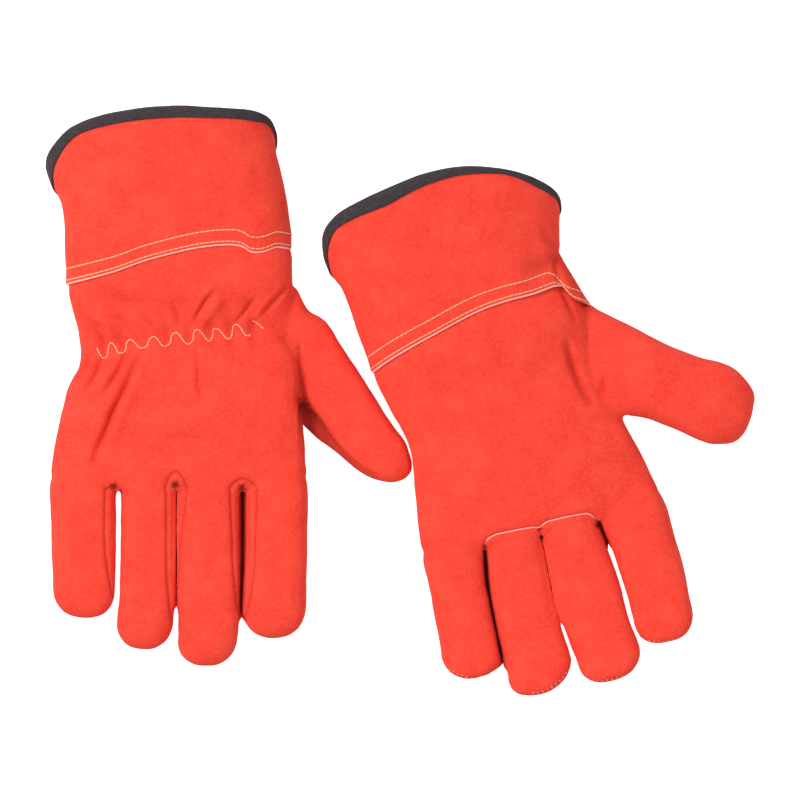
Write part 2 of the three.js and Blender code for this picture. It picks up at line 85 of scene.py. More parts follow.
# The two gloves. Places are millimetres in the glove's own frame, with its fingers towards -Y from
# the line of the finger crotches and its thumb towards +X. The columns of the tables are these.
# body: along, left, right, low, high. fingers: along, left, right, and last the tip, along and across.
# gaps between fingers: along, across. thumb: left x and y, right x and y, low, high, tilt.
# cuff: share of the way from its cut edge to its mouth, place. tape: across, width that shows.
# edge_line, where the cuff's cut edge lies: across, along. rim, the mouth: degrees round it, along.
# seam_top: how far above each gap's crotch its strip reaches. strips: half width of the strip left
# and right of each gap at the crotch, then left and right half way down the fingers.
# closing, for each gap: along, and how far its lower half shuts, from 0 to 1.
# gap_dark: how dark the painted shade inside each gap is. shut_top: how high above a finger's middle it
# begins to shut.
class Glove:
    def __init__(self, name, origin, turn, back_up, curl):
        self.name = name
        self.body_name = name + "_glove"
        self.place = Matrix.Translation(Vector(origin) * MM) @ Matrix.Rotation(math.radians(turn), 4, "Z")
        self.back_up = back_up
        self.curl = curl

    def local(self, point):
        """A place in the photograph, in the glove's own frame, in millimetres."""
        x = (point[0] - PHOTO_MIDDLE) * PHOTO_MM
        y = (PHOTO_MIDDLE - point[1]) * PHOTO_MM
        place = self.place.inverted() @ (Vector((x, y, 0.0)) * MM)
        return np.array((place.x, place.y)) / MM


RIGHT = Glove("right", (-107.04, -40.32, 0.0), turn=0.0, back_up=True, curl=0.0)
RIGHT.body = [
    (-3.5, -52, 54, 2, 21), (3, -60, 62.0, 0.6, 24.3), (12, -59.6, 61.9, 0, 25.6), (24, -57.8, 61.2, 0, 27),
    (36, -54.9, 60.0, 0, 28), (48, -51.2, 58.8, 0, 28), (57, -47.2, 57.8, 0, 27.2),
    (66, -46.6, 57.0, 0, 26.8), (75, -47.8, 56.4, 0, 28.6), (84, -50.2, 56.0, 0, 32.3),
    (92, -51.8, 56.0, 0.5, 35.6), (101, -52.2, 56.0, 1.6, 36.8), (108, -52.0, 55.6, 1.8, 37),
    (116, -51.6, 54, 1.8, 37), (129, -51.6, 53, 1.8, 37),
]
RIGHT.fingers = [
    [(14, -55, -36), (0, -60.6, -29.5), (-25, -60.2, -29.1), (-50, -59.1, -29.4), (-64.3, -44.4)],
    [(14, -26, -4), (0, -26.8, -0.4), (-30, -26.8, -0.2), (-54, -27.8, -0.6), (-64, -28.8, -1.2),
     (-79.4, -15.4)],
    [(14, 4, 26), (0, 0.2, 30.2), (-35, 0.2, 30.4), (-54, 0.3, 30.3), (-73, 0.6, 29.6), (-87.1, 14.2)],
    [(14, 35, 57), (0, 32.9, 62.6), (-30, 32.8, 62.8), (-58, 31.4, 62.4), (-73.8, 47.2)],
]
RIGHT.gaps = [[(0, -28.3), (-80, -28.5)], [(0, -0.1), (-52, -0.1), (-90, -0.4)],
              [(0, 31.4), (-40, 31.4), (-90, 30.9)]]
RIGHT.thumb = [
    (36, 52, 52, 98.5, 2, 22, 2), (48, 42, 58.6, 92.6, 1.2, 20, 3.5),
    (56.5, 32.4, 62.8, 83.6, 0.5, 18.5, 4.5), (63, 25.8, 71.8, 78, 0.2, 17.5, 4),
    (69, 20.6, 80, 65, 0, 18, 3), (76, 15.2, 88.9, 51.3, 0, 18.5, 2.2), (84.2, 8.5, 97.7, 37.6, 0, 19, 1.5),
    (91, 4.1, 104.5, 27.5, 0.3, 19, 1), (97, 1.9, 109.3, 20.7, 0.9, 18.5, 0.5),
    (103, 0.8, 112.0, 13.0, 2.2, 16.8, 0), (107.6, 1.4, 112.7, 8.2, 4.2, 14.6, 0),
    (110.4, 3.0, 112.7, 6.2, 6.6, 12, 0),
]
RIGHT.cuff = {
    "left": [(0, -53.3), (0.44, -53.4), (0.645, -54.2), (0.746, -55.3), (0.85, -57.8), (0.93, -60.0),
             (1, -61.6)],
    "right": [(0, 54.9), (0.15, 54.9), (0.37, 53.6), (0.48, 52.3), (0.59, 51.2), (0.7, 49.8), (0.8, 48.1),
              (0.91, 47.2), (1, 47.4)],
    "low": [(0, -0.5), (1, 0.9)], "high": [(0, 38.4), (0.5, 45.6), (1, 54)],
}
RIGHT.tape = [(-61.6, 7.2), (-59.8, 6.4), (-56.5, 5.4), (-53, 4.6), (-46.7, 3.8), (-28, 4.2), (-4, 4.3),
              (23, 3.8), (38, 4.0), (44, 2.9), (47.4, 2.6)]
RIGHT.edge_line = [(-53.3, 95.2), (-31, 100.8), (-13, 107), (11, 112.8), (29, 113.8), (36, 110.6),
                   (42, 110.9), (48, 113), (54.9, 112.0)]
RIGHT.rim = [(0, 165.6), (16, 172.8), (38, 177.2), (72, 178.8), (91, 178.9), (118.5, 174.3), (139, 168.9),
             (157, 161.2), (180, 152), (196, 145), (210, 141.6), (226, 145), (246, 157), (270, 167),
             (300, 167), (330, 160), (348, 161), (360, 165.6)]
RIGHT.seam_top = (-1.5, 7.0, 2.4)
RIGHT.strips = ((6.2, 2.0, 6.6, 2.0), (5.2, 5.2, 5.2, 3.1), (5.8, 7.4, 5.2, 6.8))
RIGHT.closing = (((0, 0), (-60, 0)), ((0, 1), (-50, 1), (-60, 0)), ((0, 1), (-56, 1), (-66, 0)))
RIGHT.gap_dark = (0.0, 0.1, 0.85)
RIGHT.shut_top = (2.0, 8.0, 2.0)

LEFT = Glove("left", (68.9, -61.6, 0.0), turn=14.0, back_up=False, curl=24.0)
LEFT.body = [
    (-3.5, -50, 48, 2, 21.6), (3, -58.8, 57.4, 1, 24.8), (12, -58.6, 56.7, 0, 26),
    (24, -57.2, 54.2, 0, 27.5), (36, -55.2, 50.9, 0, 28.6), (48, -53.0, 48.6, 0, 29),
    (60, -54.4, 47, 0, 29), (72, -57.6, 45.5, 0, 30.4), (84, -60.2, 44.8, 0, 33.6),
    (94, -61.2, 44.0, 0.5, 36.2), (103, -60.8, 42.6, 1.6, 36.9), (114, -60.6, 41.5, 1.8, 37),
    (128, -61, 40.6, 1.8, 37),
]
LEFT.fingers = [
    [(14, -53, -34), (0, -59.5, -30.2), (-20, -60.6, -33.4), (-49, -62.7, -34.3), (-61.9, -47.6)],
    [(14, -26, -5), (0, -28.8, -2.1), (-20, -32.0, -3.1), (-36, -33.3, -4.0), (-48, -33.9, -3.2),
     (-64, -33.9, -2.1), (-76.4, -21.2)],
    [(14, 1, 23), (0, -1.8, 25.4), (-20, -2.9, 28.1), (-36, -3.7, 28.9), (-50, -2.0, 28.9),
     (-66, -0.4, 31.0), (-78.6, 14.4)],
    [(14, 30, 53), (0, 26.6, 59.0), (-20, 29.1, 60.4), (-40, 31.0, 60.6), (-54, 31.0, 60.0), (-67.2, 45.2)],
]
LEFT.gaps = [
    [(0, -29.6), (-19, -32.8), (-47, -34.4), (-80, -36)],
    [(0, -1.9), (-20, -3.0), (-36, -3.85), (-43, -3.6), (-49, -2.7), (-80, -1.6)],
    [(0, 26.0), (-20, 28.4), (-45, 30.3), (-80, 32)],
]
LEFT.thumb = [
    (30, 56, 44, 103, 2, 22, 0), (40, 47, 52.2, 94.6, 1.5, 24.5, 0), (51.5, 42.6, 63.3, 85, 0.8, 26, 0),
    (61.5, 38.5, 73.5, 76.1, 0.4, 26.5, 0), (70.6, 32.6, 83.5, 67.8, 0.2, 26.5, 0),
    (78.6, 25.8, 92.8, 61.1, 0.2, 26, 0), (86, 20.7, 101.0, 56.8, 0.6, 25.5, 0),
    (92.9, 18.3, 107.3, 52.4, 1.4, 24.5, 0), (99.8, 18.1, 111.2, 46.4, 3, 22.5, 0),
    (105.8, 22.3, 113.2, 41, 5.5, 19.5, 0), (109.4, 27.1, 113.4, 36.6, 8.5, 16.5, 0),
]
LEFT.cuff = {
    "left": [(0, -61.8), (0.17, -62.9), (0.38, -64.1), (0.585, -65), (0.69, -65.5), (0.79, -67.0),
             (0.86, -69.1), (1, -70.1)],
    "right": [(0, 47.9), (0.105, 45.7), (0.24, 43.4), (0.37, 41.4), (0.44, 40.2), (0.546, 39.0),
              (0.62, 40.5), (0.736, 42.0), (0.85, 43.4), (0.967, 44.8), (1, 45.0)],
    "low": [(0, -0.5), (1, 0.9)], "high": [(0, 38.4), (0.5, 45.6), (1, 54)],
}
LEFT.tape = [(-70.1, 6.4), (-67, 5.6), (-62, 4.6), (-51.4, 5.4), (-36, 6.3), (-25, 5.2), (-13.5, 3.9),
             (3.5, 2.7), (21.6, 1.4), (28, 2.0), (37.5, 3.6), (45, 2.8)]
LEFT.edge_line = [(-62.0, 92), (-49, 96.8), (-30, 102), (-7, 107.8), (8, 109.6), (23, 109.8), (33, 111.0),
                  (36.8, 109.8), (40.5, 103.6), (47.4, 99)]
LEFT.rim = [(0, 150.5), (16, 155.4), (31.4, 161), (43.4, 165.4), (58.2, 170.6), (77.5, 175.8), (91, 177),
            (106.6, 174.5), (131, 170.7), (149, 166.5), (170, 158.0), (180, 151.5), (192, 146.4),
            (206, 144), (226, 149), (248, 160), (270, 167), (300, 163), (330, 150), (346, 147.5),
            (360, 150.5)]
LEFT.seam_top = (6.0, 6.0, 6.0)
LEFT.strips = ((5.0, 5.0, 5.0, 5.0), (5.0, 5.0, 5.0, 5.0), (6.4, 6.4, 6.4, 6.4))
LEFT.closing = (((0, 1), (-52, 1), (-62, 0)), ((0, 1), (-40, 1), (-47, 0)),
                ((0, 1), (-14, 1), (-17.5, 0), (-60, 0)))
LEFT.gap_dark = (0.85, 0.1, 0.3)
LEFT.shut_top = (2.0, 8.0, 2.0)
GLOVES = (RIGHT, LEFT)


# Sizes and colours that a user would change
def length_of(name, description, default, least):
    return bpy.props.FloatProperty(name=name, description=description, default=default, min=least,
                                   subtype="DISTANCE", unit="LENGTH")


def colour_of(name, description, default):
    return bpy.props.FloatVectorProperty(name=name, description=description, default=default, size=3,
                                         min=0.0, max=1.0, subtype="COLOR")


class GloveSizes(bpy.types.PropertyGroup):
    leather: length_of("Leather", "Thickness of the suede", 0.0013, 0.0005)
    voxel: length_of("Surface detail", "Size of the hand's surface mesh", 0.0009, 0.0005)
    groove: length_of("Seam depth", "How far a seam draws the leather in", 0.0009, 0.0)
    groove_reach: length_of("Seam reach", "How far from a seam the leather is drawn in", 0.0024, 0.0005)
    folds: bpy.props.FloatProperty(name="Folds", default=1.5, min=0.0,
                                   description="Depth of the folds, as a share of the table's")
    tape: length_of("Binding width", "Width of the binding on each side of the mouth", 0.0058, 0.002)
    tape_thickness: length_of("Binding thickness", "Thickness of the folded tape", 0.0009, 0.0003)
    stitch: length_of("Stitch", "Length of one stitch", 0.0026, 0.001)
    thread: length_of("Thread", "Diameter of the thread", 0.00062, 0.0002)


class GloveColours(bpy.types.PropertyGroup):
    suede: colour_of("Suede", "Dyed split leather", (0.9, 0.068, 0.04))
    cut_edge: colour_of("Cut edge", "Undyed core of the leather", (1.0, 0.39, 0.35))
    thread: colour_of("Thread", "Aramid sewing thread", (0.95, 0.52, 0.29))
    tape: colour_of("Binding", "Woven binding tape", (0.05, 0.042, 0.046))
    fleece: colour_of("Fleece", "Brushed cotton lining", (0.78, 0.73, 0.62))
    canvas: colour_of("Canvas", "Cuff lining", (0.72, 0.65, 0.5))


def sizes():
    return bpy.context.scene.glove_sizes


def colours():
    return bpy.context.scene.glove_colours


# Selecting, finishing and measuring
def only(*objects):
    """Leaves edit mode and selects these objects alone, or nothing."""
    if bpy.context.object and bpy.context.object.mode != "OBJECT":
        bpy.ops.object.mode_set(mode="OBJECT")
    bpy.ops.object.select_all(action="DESELECT")
    for obj in objects:
        obj.select_set(True)
    if objects:
        bpy.context.view_layer.objects.active = objects[0]


def modify(obj, kind, **values):
    only(obj)
    modifier = obj.modifiers.new(kind.title(), kind)
    for name, value in values.items():
        setattr(modifier, name, value)
    bpy.ops.object.modifier_apply(modifier=modifier.name)


def face_outwards(obj, merge=0.0):
    """Turns every face outwards, once points closer than a distance are merged."""
    only(obj)
    bpy.ops.object.mode_set(mode="EDIT")
    bpy.ops.mesh.select_all(action="SELECT")
    if merge:
        bpy.ops.mesh.remove_doubles(threshold=merge)
    bpy.ops.mesh.normals_make_consistent(inside=False)
    bpy.ops.object.mode_set(mode="OBJECT")


def mesh_object(name, points, faces):
    mesh = bpy.data.meshes.new(name)
    mesh.from_pydata(points, [], faces)
    obj = bpy.data.objects.new(name, mesh)
    bpy.context.collection.objects.link(obj)
    return obj


def read_points(mesh):
    points = np.empty(len(mesh.vertices) * 3)
    mesh.vertices.foreach_get("co", points)
    return points.reshape(-1, 3)


def write_points(mesh, points):
    mesh.vertices.foreach_set("co", np.asarray(points, dtype=np.float64).ravel())
    mesh.update()


def read_normals(mesh):
    normals = np.empty(len(mesh.vertices) * 3)
    mesh.vertex_normals.foreach_get("vector", normals)
    return normals.reshape(-1, 3)


def smoothstep(low, high, value):
    share = np.clip((value - low) / (high - low), 0.0, 1.0)
    return share * share * (3.0 - 2.0 * share)


def unit(rows):
    """Rows of vectors, each made one unit long."""
    return rows / np.linalg.norm(rows, axis=1)[:, None]


def along_line(points, where):
    """The second value of a list of pairs at a place given by the first, both ways round."""
    ordered = sorted(tuple(p) for p in points)
    return np.interp(where, [p[0] for p in ordered], [p[1] for p in ordered])


def curve_through(values, steps):
    """A Catmull-Rom curve through rows of numbers, with the given steps between each pair."""
    rows = [np.asarray(row, dtype=float) for row in values]
    out = []
    for i in range(len(rows) - 1):
        before = rows[max(i - 1, 0)]
        here = rows[i]
        after = rows[i + 1]
        beyond = rows[min(i + 2, len(rows) - 1)]
        for step in range(steps):
            t = step / steps
            square = 2 * before - 5 * here + 4 * after - beyond
            cube = 3 * here - before - 3 * after + beyond
            out.append(0.5 * (2 * here + (after - before) * t + square * t * t + cube * t ** 3))
    out.append(rows[-1])
    return out


# Tubes drawn through cross-sections: left x and y, right x and y, low and high, in millimetres
TUBE_SIDES = 40
SECTION_POWER = 2.5
FINGER_POWER = 3.0


def ring_angles(sides):
    return (np.arange(sides) + 0.5) * 2 * math.pi / sides


def rounded(angles, power):
    """Places across and up a rounded section of half width 1: a power of 2 makes it a circle."""
    across = np.sign(np.cos(angles)) * np.abs(np.cos(angles)) ** (2 / power)
    upwards = np.sign(np.sin(angles)) * np.abs(np.sin(angles)) ** (2 / power)
    return across, upwards


def ring_points(section, power):
    left = np.array((section[0], section[1]))
    right = np.array((section[2], section[3]))
    across, upwards = rounded(ring_angles(TUBE_SIDES), power)
    plan = (left + right) / 2 + across[:, None] * (right - left) / 2
    heights = (section[4] + section[5]) / 2 + upwards * (section[5] - section[4]) / 2
    if len(section) > 6:
        heights = np.maximum(heights + across * section[6], 0.1)
    return np.column_stack((plan, heights)) * MM


def loft(name, sections, power=SECTION_POWER):
    """A closed tube: a disc placed on the first section and extruded through the others."""
    only()
    bpy.ops.mesh.primitive_circle_add(vertices=TUBE_SIDES, radius=MM, fill_type="NGON")
    obj = bpy.context.object
    obj.name = name
    bpy.ops.object.mode_set(mode="EDIT")
    bpy.ops.mesh.select_all(action="SELECT")
    bm = bmesh.from_edit_mesh(obj.data)
    place_layer = bm.verts.layers.int.new("place")
    in_order = sorted(bm.verts, key=lambda v: math.atan2(v.co.y, v.co.x) % (2 * math.pi))
    for number, vert in enumerate(in_order):
        vert[place_layer] = number
    for number, section in enumerate(sections):
        if number:
            bpy.ops.mesh.extrude_region_move()
        bm = bmesh.from_edit_mesh(obj.data)
        place_layer = bm.verts.layers.int["place"]
        ring = ring_points(section, power)
        for vert in bm.verts:
            if vert.select:
                vert.co = ring[vert[place_layer]]
        bmesh.update_edit_mesh(obj.data)
    bpy.ops.mesh.select_all(action="SELECT")
    bpy.ops.mesh.normals_make_consistent(inside=False)
    bpy.ops.object.mode_set(mode="OBJECT")
    return obj


# Length over which the fingers curl, half thickness of a finger at its root and further down, how
# much it swells towards its root and over what length, and the gap left on each side of a finger
# before the hand is made one surface, in millimetres
CURL_LENGTH = 88.0
ROOT_HALF = 7.0
FINGER_HALF = 10.0
FINGER_SWELL = 1.2
SWELL_LENGTH = 60.0
SPREAD = 1.2
# The rings of a finger's rounded end, in degrees
CAP_ANGLES = (16, 32, 46, 56, 65, 73, 80, 85)
TIP_POWER = 2.3


def middle_height(glove, along):
    """Height of the side seam: half way up the hand, and along the fingers as they curl."""
    hand = np.interp(along, [row[0] for row in glove.body], [(row[3] + row[4]) / 2 for row in glove.body])
    return hand + glove.curl * (np.minimum(along, 0.0) / CURL_LENGTH) ** 2


def finger_sections(glove, finger, inset):
    rows = []
    first = finger is glove.fingers[0]
    last = finger is glove.fingers[-1]
    for number, (along, left, right) in enumerate(finger[:-1]):
        swell = FINGER_SWELL * (1.0 + max(along, -SWELL_LENGTH) / SWELL_LENGTH)
        half = FINGER_HALF + swell - inset
        if number == 0:
            half = ROOT_HALF - inset
        else:
            left += 0.0 if first else SPREAD
            right -= 0.0 if last else SPREAD
        mid = float(middle_height(glove, along))
        rows.append((left + inset, along, right - inset, along, mid - half, mid + half))
    rows = curve_through(rows, 4)
    end = rows[-1]
    tip_y, tip_x = finger[-1]
    tip_y += inset
    start = (end[0] + end[2]) / 2
    half_width = (end[2] - end[0]) / 2
    for degrees in CAP_ANGLES:
        share = math.sin(math.radians(degrees))
        size = (1.0 - share ** TIP_POWER) ** (1.0 / TIP_POWER)
        along = end[1] + (tip_y - end[1]) * share
        middle = start + (tip_x - start) * share
        mid = float(middle_height(glove, along))
        half = (FINGER_HALF - inset) * (1 - 0.1 * share) * size ** 0.8
        rows.append((middle - half_width * size, along, middle + half_width * size, along, mid - half,
                     mid + half))
    return rows


def body_sections(glove, inset):
    rows = [(left + inset, along, right - inset, along, low + inset, high - inset)
            for along, left, right, low, high in glove.body]
    rows[0] = tuple(np.array(rows[0]) + np.array((0, inset, 0, inset, 0, 0)))
    return curve_through(rows, 3)


def thumb_sections(glove, inset):
    rows = []
    for section in glove.thumb:
        left = np.array(section[:2], dtype=float)
        right = np.array(section[2:4], dtype=float)
        tilt = section[6]
        side = (right - left) / np.linalg.norm(right - left)
        inwards = min(inset, 0.4 * np.linalg.norm(right - left))
        down = min(inset, 0.4 * (section[5] - section[4]))
        rows.append((*(left + side * inwards), *(right - side * inwards), section[4] + down,
                     section[5] - down, tilt))
    return curve_through(rows, 3)


def hand_surface(glove, inset, voxel, rounds):
    """The hand as one smooth closed surface, in the glove's own frame."""
    parts = [loft("body", body_sections(glove, inset)), loft("thumb", thumb_sections(glove, inset))]
    for finger in glove.fingers:
        parts.append(loft("finger", finger_sections(glove, finger, inset), FINGER_POWER))
    only(*parts)
    bpy.ops.object.join()
    hand = bpy.context.object
    modify(hand, "REMESH", mode="VOXEL", voxel_size=voxel, adaptivity=0.0)
    modify(hand, "SMOOTH", factor=0.5, iterations=rounds)
    return hand


# Folds and creases, as lines in the photograph with a width and a depth in millimetres
def line_distance(points, path):
    """For each point in plan, the distance to a path and the share of the path there."""
    lengths = [np.linalg.norm(path[i + 1] - path[i]) for i in range(len(path) - 1)]
    total = sum(lengths)
    best = np.full(len(points), 1e9)
    share = np.zeros(len(points))
    side = np.zeros(len(points))
    run = 0.0
    for i, length in enumerate(lengths):
        step = (path[i + 1] - path[i]) / length
        offset = points - path[i]
        t = np.clip(offset @ step, 0.0, length)
        nearest = offset - t[:, None] * step
        distance = np.linalg.norm(nearest, axis=1)
        closer = distance < best
        best = np.where(closer, distance, best)
        share = np.where(closer, (run + t) / total, share)
        side = np.where(closer, np.sign(offset[:, 0] * step[1] - offset[:, 1] * step[0]), side)
        run += length
    return best, share, side


def crease(glove, points, normals, path, width, depth):
    """Moves the skin along its normals near a path: depth below zero is a valley, above it a ridge."""
    distance, share, _ = line_distance(points[:, :2] / MM, traced(glove, path))
    lift = np.exp(-(distance / width) ** 2) * faded(share, 0.5) * facing_up(normals, 0.0, 0.5) * depth
    points += normals * (lift * MM)[:, None]


def traced(glove, path, steps=4):
    """A smooth line through places in the photograph, in the glove's own frame."""
    return curve_through([glove.local(p) for p in path], steps)


def facing_up(normals, low=0.0, high=0.4):
    """From 0 to 1 as the skin turns to face upwards."""
    return smoothstep(low, high, normals[:, 2])


def faded(share, power):
    """From 1 along a line to nearly 0 at both of its ends."""
    return np.sin(np.pi * np.clip(share, 0.02, 0.98)) ** power


FOLDS = {
    "right": [
        ([(86, 318), (100, 333), (109, 351)], 1.6, -1.5), ([(93, 312), (108, 326), (115, 342)], 1.8, 0.9),
        ([(117, 316), (131, 329), (142, 343)], 1.6, -1.3), ([(133, 315), (143, 325), (152, 338)], 1.6, 0.7),
        ([(144, 315), (154, 326), (161, 340)], 1.5, -1.0),
        ([(219, 288), (209, 299), (200, 312), (194, 326)], 1.1, -1.5),
        ([(222, 297), (211, 313), (203, 330)], 2.4, 1.2), ([(256, 299), (246, 311), (236, 325)], 1.1, -1.2),
        ([(270, 302), (258, 314), (246, 325)], 2.2, 0.8), ([(288, 288), (275, 302), (262, 315)], 1.2, -1.4),
        ([(173, 300), (178, 316), (180, 334)], 2.2, -0.9), ([(98, 289), (122, 298), (147, 304)], 5.0, -1.2),
        ([(104, 356), (95, 374), (86, 392)], 1.6, -1.8), ([(92, 352), (84, 368), (78, 384)], 1.6, -1.3),
        ([(143, 351), (133, 371), (124, 391), (115, 409), (106, 431), (98, 450), (93, 470)], 1.8, -2.5),
        ([(151, 351), (142, 371), (133, 392), (124, 410), (115, 432), (107, 452)], 3.2, 1.2),
        ([(126, 355), (116, 374), (103, 395)], 1.5, -2.0),
        ([(197, 348), (198, 367), (200, 388), (202, 404)], 1.5, -1.2),
        ([(268, 332), (283, 347), (294, 365), (299, 388), (301, 408)], 2.4, 1.0),
        ([(298, 352), (303, 378), (305, 404), (312, 428)], 2.2, -2.2),
        ([(168, 440), (186, 436), (212, 442)], 4.0, -0.8),
        ([(300, 396), (309, 412), (322, 430), (336, 444)], 3.0, -2.2),
    ],
    "left": [
        ([(566, 342), (574, 370), (584, 392), (591, 404)], 2.0, -2.0),
        ([(603, 375), (603, 398)], 1.8, -1.3),
        ([(559, 250), (557, 268), (561, 288)], 1.8, -1.4),
        ([(561, 288), (568, 304), (576, 322)], 1.6, -0.9),
        ([(540, 226), (549, 240), (556, 252)], 2.2, -0.7),
        ([(532, 276), (545, 268), (557, 256)], 3.2, -0.7),
    ],
}
# Painted shade in soft dark places where the nap is folded away or lies in shadow: a path, a width and how
# dark, from 0 to 1
SHADED_PLACES = {
    "right": [
        ([(298, 346), (300, 374), (302, 402)], 1.1, 0.5), ([(283, 343), (291, 370), (297, 398)], 3.0, 0.16),
        ([(120, 330), (128, 345)], 3.0, 0.12), ([(92, 326), (99, 345), (92, 364)], 3.2, 0.2),
        ([(84, 300), (96, 322)], 4.0, 0.1),
    ],
    "left": [
        ([(526, 270), (542, 263), (556, 255)], 4.0, 0.2), ([(563, 262), (572, 276), (580, 288)], 4.0, 0.3),
        ([(566, 342), (574, 370), (584, 392), (590, 402)], 1.0, 0.35),
    ],
}
# How dark the painted shade in a fold is for each millimetre of its depth, down to the deepest that counts,
# and how much narrower the shade is than the fold
FOLD_DARK = 0.19
DEEPEST_FOLD = 2.6
DARK_NARROWER = 0.6
# The seam below which the right thumb turns away under the palm, how far the shade reaches from
# it, and where across the hand it begins
THUMB_SHADE = [(301, 400), (312, 409), (321, 418), (331, 434), (345, 449), (360, 463), (372, 470),
               (384, 476)]
THUMB_SHADE_REACH = 14.0
THUMB_SHADE_FROM = 58.0
# The puckers where the back's seams meet between the fingers, and their size and depth in millimetres
PITS = {"right": [(114.5, 487), (176, 485), (242.5, 488)], "left": [(485, 547), (539.5, 529), (597.5, 525)]}
PIT_SIZE = 1.6
PIT_DEPTH = 0.8
# The gathers at the wrist: the line of the elastic, then the pleats' pitch and depth, how far they
# reach on its two sides, and the depth and reach of the elastic's own pull, in millimetres
GATHER_LINE = [(98, 354), (123, 347), (150, 341), (180, 337), (210, 334), (240, 329), (266, 326)]
GATHER_PITCH = 10.4
PLEAT_DEPTH = 0.85
PLEAT_REACH = (9.0, 12.0)
PULL_DEPTH = 1.4
PULL_REACH = 6.0
# How a gap between fingers shuts in its lower half, in millimetres: how far its walls come in, the
# height over which that sets in, the width that moves, and how far the slit bends to one side so
# that no light falls through it
SHUT_REACH = 5.0
SHUT_FADE = 4.5
SHUT_WIDTH = 8.0
SLIT_BEND = 1.4
# The unevenness of worn leather: height in metres and number of waves to a metre, slow and quick
SLOW_WAVES = (0.0007, 55.0)
QUICK_WAVES = (0.0002, 160.0)
# The leather stays this much above the floor, in metres
FLOOR_GAP = 0.0001


def painted_shade_of(glove, points, normals):
    """Painted shade on the nap in folds, gaps, pits, under the right thumb and in other shaded places, from 0
    to 1.
    """
    plan = points[:, :2] / MM
    worn = np.zeros(len(points))
    # Painted shade along the valley of each fold
    for path, width, depth in FOLDS[glove.name]:
        if depth < 0:
            distance, share, _ = line_distance(plan, traced(glove, path))
            inside = np.exp(-(distance / (DARK_NARROWER * width)) ** 2) * faded(share, 0.7)
            dark = FOLD_DARK * min(-depth, DEEPEST_FOLD)
            worn = np.maximum(worn, dark * inside * facing_up(normals, 0.1, 0.5))
    # Painted shade in the listed soft dark places
    for path, width, dark in SHADED_PLACES[glove.name]:
        distance = line_distance(plan, traced(glove, path))[0]
        worn = np.maximum(worn, dark * np.exp(-(distance / width) ** 2) * facing_up(normals, -0.3, 0.1))
    # Painted shade on the side of the right thumb that turns away under the palm
    if glove.back_up:
        distance, share, side = line_distance(plan, traced(glove, THUMB_SHADE))
        below = smoothstep(-0.5, 0.5, side * distance) * np.exp(-(distance / THUMB_SHADE_REACH) ** 2)
        fade = (1.0 - 0.8 * share) * smoothstep(1.0, 0.9, share)
        worn = np.maximum(worn, fade * below * (plan[:, 0] > THUMB_SHADE_FROM))
    # Painted shade in the puckers where the seams meet between the fingers
    worn = np.maximum(worn, np.clip(1.7 * pits(glove, points), 0.0, 1.0) * facing_up(normals, 0.0, 0.3))
    x, y, z = (points / MM).T
    height = z - middle_height(glove, y)
    # Painted shade inside the gaps between the fingers, where their lower halves shut
    for gap, closing, dark in zip(glove.gaps, glove.closing, glove.gap_dark):
        offset = x - along_line(gap, y)
        inside = np.exp(-(offset / 1.5) ** 2) * smoothstep(8.5, 4.5, height) * smoothstep(-1.5, -4.0, y)
        worn = np.maximum(worn, dark * inside * along_line(closing, y))
    return worn


def pits(glove, points):
    """A star round each place where the seams between two fingers meet, from 0 to 1."""
    star = np.zeros(len(points))
    size = PIT_SIZE if glove.back_up else 0.6 * PIT_SIZE
    for place in PITS[glove.name]:
        offset = points[:, :2] / MM - glove.local(place)
        turn = np.arctan2(offset[:, 1], offset[:, 0])
        reach = size * (1.0 + 0.22 * np.cos(5.0 * turn + 1.0))
        star = np.maximum(star, np.exp(-(np.hypot(offset[:, 0], offset[:, 1]) / reach) ** 2))
    return star


def add_painted_shade(mesh, worn):
    """Adds painted shade to a mesh's points, which keep what they had where that is more."""
    layer = mesh.attributes.get("worn") or mesh.attributes.new("worn", "FLOAT", "POINT")
    before = np.empty(len(mesh.vertices))
    layer.data.foreach_get("value", before)
    layer.data.foreach_set("value", np.clip(np.maximum(before, worn), 0.0, 1.0))


def gather(glove, points, normals):
    """Small pleats across the elastic, which fade above and below it."""
    line = traced(glove, GATHER_LINE, 6)
    length_mm = sum(np.linalg.norm(line[i + 1] - line[i]) for i in range(len(line) - 1))
    distance, share, side = line_distance(points[:, :2] / MM, line)
    fade = np.exp(-(distance / np.where(side > 0, *PLEAT_REACH)) ** 2)
    wave = np.cos(2 * math.pi * (share * length_mm / GATHER_PITCH + 0.1) + 0.04 * distance)
    pull = np.exp(-(distance / PULL_REACH) ** 2)
    ends = smoothstep(0.0, 0.05, share) * smoothstep(0.0, 0.05, 1.0 - share)
    lift = (PLEAT_DEPTH * wave * fade - PULL_DEPTH * pull) * ends * facing_up(normals)
    points += normals * (lift * MM)[:, None]


def close_gaps(glove, points):
    """Brings the fingers together again, and shuts the lower half of the slits where they touch."""
    x, y, z = (points / MM).T
    height = z - middle_height(glove, y)
    shift = np.zeros(len(points))
    for gap, closing, top in zip(glove.gaps, glove.closing, glove.shut_top):
        below = smoothstep(top, top - SHUT_FADE, height)
        offset = x - along_line(gap, y)
        near = np.exp(-(offset / SHUT_WIDTH) ** 2) * smoothstep(-2.6, -4.6, y)
        shut = along_line(closing, y)
        reach = (SPREAD + SHUT_REACH * shut * below) * near
        shift -= np.sign(offset) * np.minimum(reach, np.maximum(np.abs(offset) - 0.12, 0.0))
        shift += SLIT_BEND * shut * np.exp(-((height + 4.0) / 2.4) ** 2) * near
    points[:, 0] += shift * MM


def uneven(points, waves, start):
    height, count = waves
    return height * np.array([noise.noise(Vector(p) * count + Vector(start)) for p in points])


